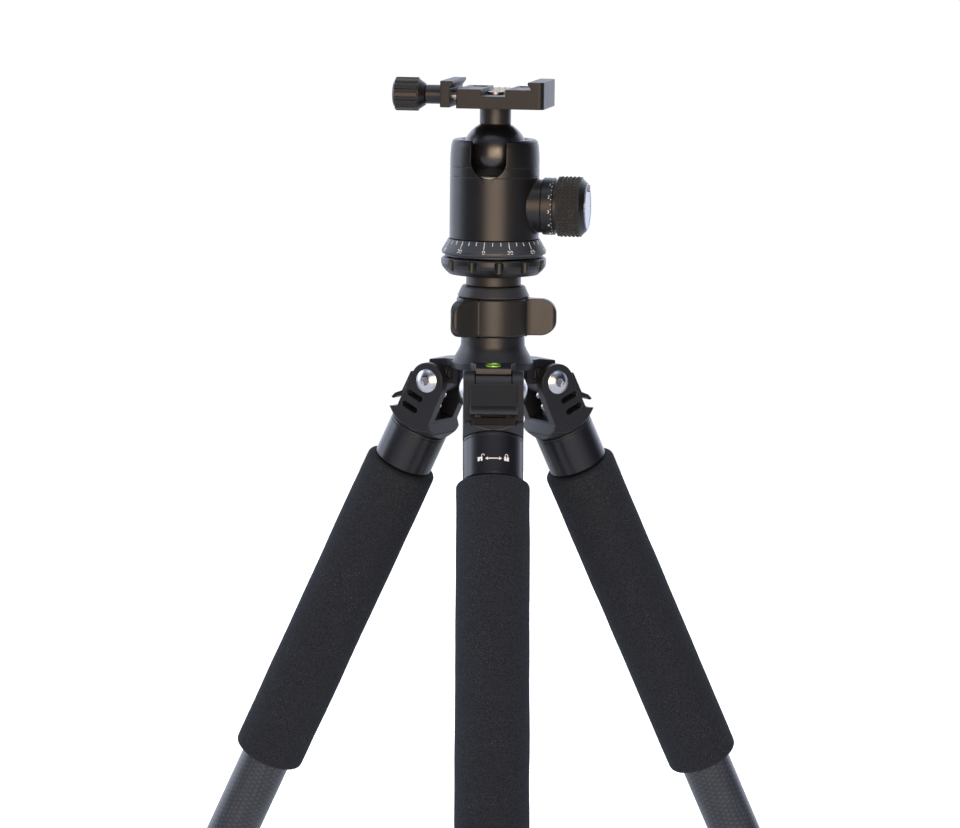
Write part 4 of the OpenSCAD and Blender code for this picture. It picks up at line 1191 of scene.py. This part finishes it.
class ClampMaker(Maker):
    """Build the clamp's body, jaw, screw, knob and level"""

    bl_idname = "tripod.clamp"
    bl_label = "Quick-release clamp"

    def make(self, look):
        for node in ("clamp_body", "clamp_jaw"):
            stand_for(node, of_node(node, HEAD, 0.25), HEAD, "clamp_anodised")
        for node in ("clamp_bolt", "clamp_guides"):
            stand_for(node, of_node(node, HEAD, 0.15), HEAD)
        self.level()
        self.screw()
        self.knob(look.knob_flutes)

    def level(self):
        """Tube level in the seat's channel: its holder, the vial and two lines on it."""
        low, high, _, _ = reach("clamp_level", HEAD)
        radius = 1.9
        middle = (low + high) / 2
        lying = Matrix.Translation((middle.x, middle.y, high.z - radius)) @ turn_about("Y", 90)
        half = (high.x - low.x) / 2
        holder = prism(rounded([(low.x, low.y), (high.x, low.y), (high.x, high.y), (low.x, high.y)], 0.8),
                       low.z, low.z + 1.6)
        vial = rounded([(0.0, -half + 0.5), (radius, -half + 0.5, 0.7), (radius, half - 0.5, 0.7),
                        (0.0, half - 0.5)],
                       0.3, closed=False)
        base = ease_edges(thing(holder), 0.2)
        stand_for("clamp_level", join("clamp_level_detail",
                                      [base, thing(moved(turned(vial, 32), lying))]), HEAD)
        line = rounded([(radius - 0.2, 1.5), (radius + 0.04, 1.5), (radius + 0.04, 1.75),
                        (radius - 0.2, 1.75)], 0.02)
        lines = [thing(moved(turned(line, 32), lying @ turn_about("X", side))) for side in (0, 180)]
        piece(join("clamp_level_lines", lines), "clamp_level_lines", HEAD, BODY_OF["clamp_level"],
              finish("black_anodised"))

    def screw(self):
        """Screw with its thread turned as rings, and the sleeve between the knob and the jaw."""
        low, high, outer, _ = reach("clamp_screw", SCREW)
        knob_start = reach("clamp_knob", SCREW)[0].z
        jaw_end = -reach("clamp_jaw", HEAD)[0].x
        pitch, thread_r = 1.25, 3.0
        turns = int((jaw_end - low.z - 1) / pitch)
        thread = [(0.0, low.z), (thread_r - 0.5, low.z)]
        for k in range(turns):
            at = low.z + 0.4 + k * pitch
            thread += [(thread_r - 0.4, at), (thread_r, at + pitch * 0.4), (thread_r, at + pitch * 0.6)]
        thread += [(thread_r - 0.4, jaw_end - 0.2), (thread_r - 0.4, jaw_end + 0.1)]
        sleeve = rounded([(outer - 0.4, jaw_end + 0.1), (outer, jaw_end + 0.5, 0.2),
                          (outer, knob_start - 0.5, 0.2),
                          (outer - 0.4, knob_start - 0.1)], 0.1, closed=False)
        shank = [(thread_r, knob_start - 0.1), (thread_r, high.z), (0.0, high.z)]
        turned_piece("clamp_screw", SCREW, [*thread, *sleeve, *shank], 64, look="black_anodised")

    def knob(self, flutes):
        """Clamp knob: a cone at its root, broad ribs with fine flutes between them, and a chamfered end."""
        low, high, outer, _ = reach("clamp_knob", SCREW)
        start, end = low.z, high.z
        bore = 3.0
        core = outer - 1.0
        body = rounded([
            (0.0, start + 10, 0), (bore, start + 10, 0), (bore, start, 0.1), (outer - 3.4, start, 0.3),
            (core - 0.4, start + 2.9, 0.5), (core, start + 3.6, 0.2), (core, end - 1.6, 0.3),
            (core - 1.4, end - 0.3, 0.4), (core - 2.4, end, 0.3), (core - 3.4, end - 0.5, 0.3),
            (0.0, end - 0.5)],
            0.1, closed=False)
        step = 2 * math.pi / flutes
        rib = prism(rounded([(core - 0.5, -0.36 * step * core), (outer, -0.3 * step * core, 0.5),
                             (outer, 0.3 * step * core, 0.5), (core - 0.5, 0.36 * step * core)], 0.0),
                    start + 3.9, end - 1.4)
        bmesh.ops.recalc_face_normals(rib, faces=rib.faces)
        ribs = ease_edges(repeated(rib, finish("black_anodised"), flutes), 0.25)
        stand_for("clamp_knob", join("clamp_knob_detail", [thing(turned(body, 96)), ribs]), SCREW)


# ---------- stage ----------


class StageMaker(Maker):
    """Build the floor, the lights, the surroundings and the camera"""

    bl_idname = "tripod.stage"
    bl_label = "Stage"

    def make(self, look):
        self.floor(look.floor_colour)
        self.surroundings()
        self.lights()
        self.camera()

    def floor(self, colour):
        disc = thing(turned([(0.0, 0.0), (3000.0, 0.0), (3000.0, -4.0), (0.0, -4.0)], 96), "floor")
        disc.data.transform(Matrix.Scale(MM, 4))
        paint = Paint(bpy.data.materials.new("floor"))
        tone = paint.noise(3, 2)
        base = paint.mix(tone, [channel * 0.99 for channel in colour], colour)
        seen = paint.node("ShaderNodeLightPath", output="Is Camera Ray")
        disc.data.materials.append(paint.surface(
            Base_Color=base, Roughness=0.7 + tone * 0.1, Specular_IOR_Level=0.2,
            Emission_Color=paint.mix(seen, (0.0, 0.0, 0.0), base), Emission_Strength=0.85))

    def surroundings(self):
        """Pale all round for the eye; for reflections bright behind, dim at the sides, warm in front."""
        world = bpy.data.worlds.new("studio")
        bpy.context.scene.world = world
        paint = Paint(world)
        x, y, z = paint.parts(paint.place("Generated"))
        flat = (x * x + y * y + 0.0001) ** 0.5
        front = 0 - y / flat
        glow = front.clamped(0.86, 0.995) * (1 - z.clamped(0.2, 0.55))
        side = paint.mix(glow, (0.008, 0.011, 0.022), (6.0, 4.5, 3.3))
        behind = paint.mix(((y - x * 0.22) / flat).clamped(0.0, 0.75), side, (1.7, 1.8, 2.15))
        above = paint.mix(z.clamped(0.40, 0.85), behind, (0.30, 0.38, 0.52))
        seen = paint.node("ShaderNodeLightPath", output="Is Camera Ray")
        colour = paint.mix(seen, above, (1.02, 1.02, 1.02))
        light = paint.node("ShaderNodeBackground", {}, {"Color": colour, "Strength": 1.0})
        paint.node("ShaderNodeOutputWorld", {}, {"Surface": light})

    def lights(self):
        target = Vector((0, 0, HINGE_HEIGHT + 0.1))
        for name, place, size, power, colour in (
            ("top_softbox", (0.0, 0.2, 3.0), (3.4, 3.4), 36, (0.96, 0.98, 1.0)),
            ("left_softbox", (-2.2, 0.6, 1.2), (0.5, 1.6), 7, (0.8, 0.9, 1.0)),
            ("front_softbox", (0.35, -2.2, 1.1), (0.35, 0.5), 3.5, (1.0, 0.86, 0.66)),
        ):
            light = bpy.data.lights.new(name, "AREA")
            light.shape = "RECTANGLE"
            light.size, light.size_y = size
            light.energy = power
            light.color = colour
            holder = bpy.data.objects.new(name, light)
            holder.location = place
            aim = target - Vector(place)
            holder.rotation_euler = aim.to_track_quat("-Z", "Y").to_euler()
            bpy.context.scene.collection.objects.link(holder)

    def camera(self):
        """A long lens a little above the head, looking slightly down."""
        distance, pitch, heading, roll = 2.575, math.radians(7.2), math.radians(-0.82), math.radians(0.65)
        aim = Vector((-0.0067, 0, HINGE_HEIGHT - 0.0181))
        away = Vector((math.sin(heading) * math.cos(pitch), -math.cos(heading) * math.cos(pitch),
                       math.sin(pitch)))
        lens = bpy.data.cameras.new("camera")
        lens.lens = 172.6
        lens.sensor_width = 36.0
        lens.clip_end = 100
        holder = bpy.data.objects.new("camera", lens)
        right = Vector((math.cos(heading), math.sin(heading), 0))
        up = away.cross(right)
        tilted = right * math.cos(roll) + up * math.sin(roll)
        turn = Matrix((tilted, away.cross(tilted), away)).transposed().to_4x4()
        holder.matrix_world = Matrix.Translation(aim + away * distance) @ turn
        bpy.context.scene.collection.objects.link(holder)
        bpy.context.scene.camera = holder
        bpy.context.scene.view_settings.view_transform = "Standard"


# ---------- add-on ----------


MAKERS = (LegMaker, SpiderMaker, ColumnMaker, PanMaker, BallMaker, KnobMaker, ClampMaker, StageMaker)


class TripodPanel(bpy.types.Panel):
    """Lists the tripod's operators, in the order that they are run"""

    bl_idname = "VIEW3D_PT_tripod"
    bl_label = "Tripod"
    bl_space_type = "VIEW_3D"
    bl_region_type = "UI"
    bl_category = "Tripod"

    def draw(self, context):
        for maker in MAKERS:
            self.layout.operator(maker.bl_idname)


def register():
    for item in (TripodLook, *MAKERS, TripodPanel):
        bpy.utils.register_class(item)
    bpy.types.Scene.tripod_look = PointerProperty(type=TripodLook)


def unregister():
    del bpy.types.Scene.tripod_look
    for item in (TripodPanel, *reversed(MAKERS), TripodLook):
        bpy.utils.unregister_class(item)


def main():
    register()
    for maker in MAKERS:
        group, action = maker.bl_idname.split(".")
        getattr(getattr(bpy.ops, group), action)()


if __name__ == "__main__":
    main()
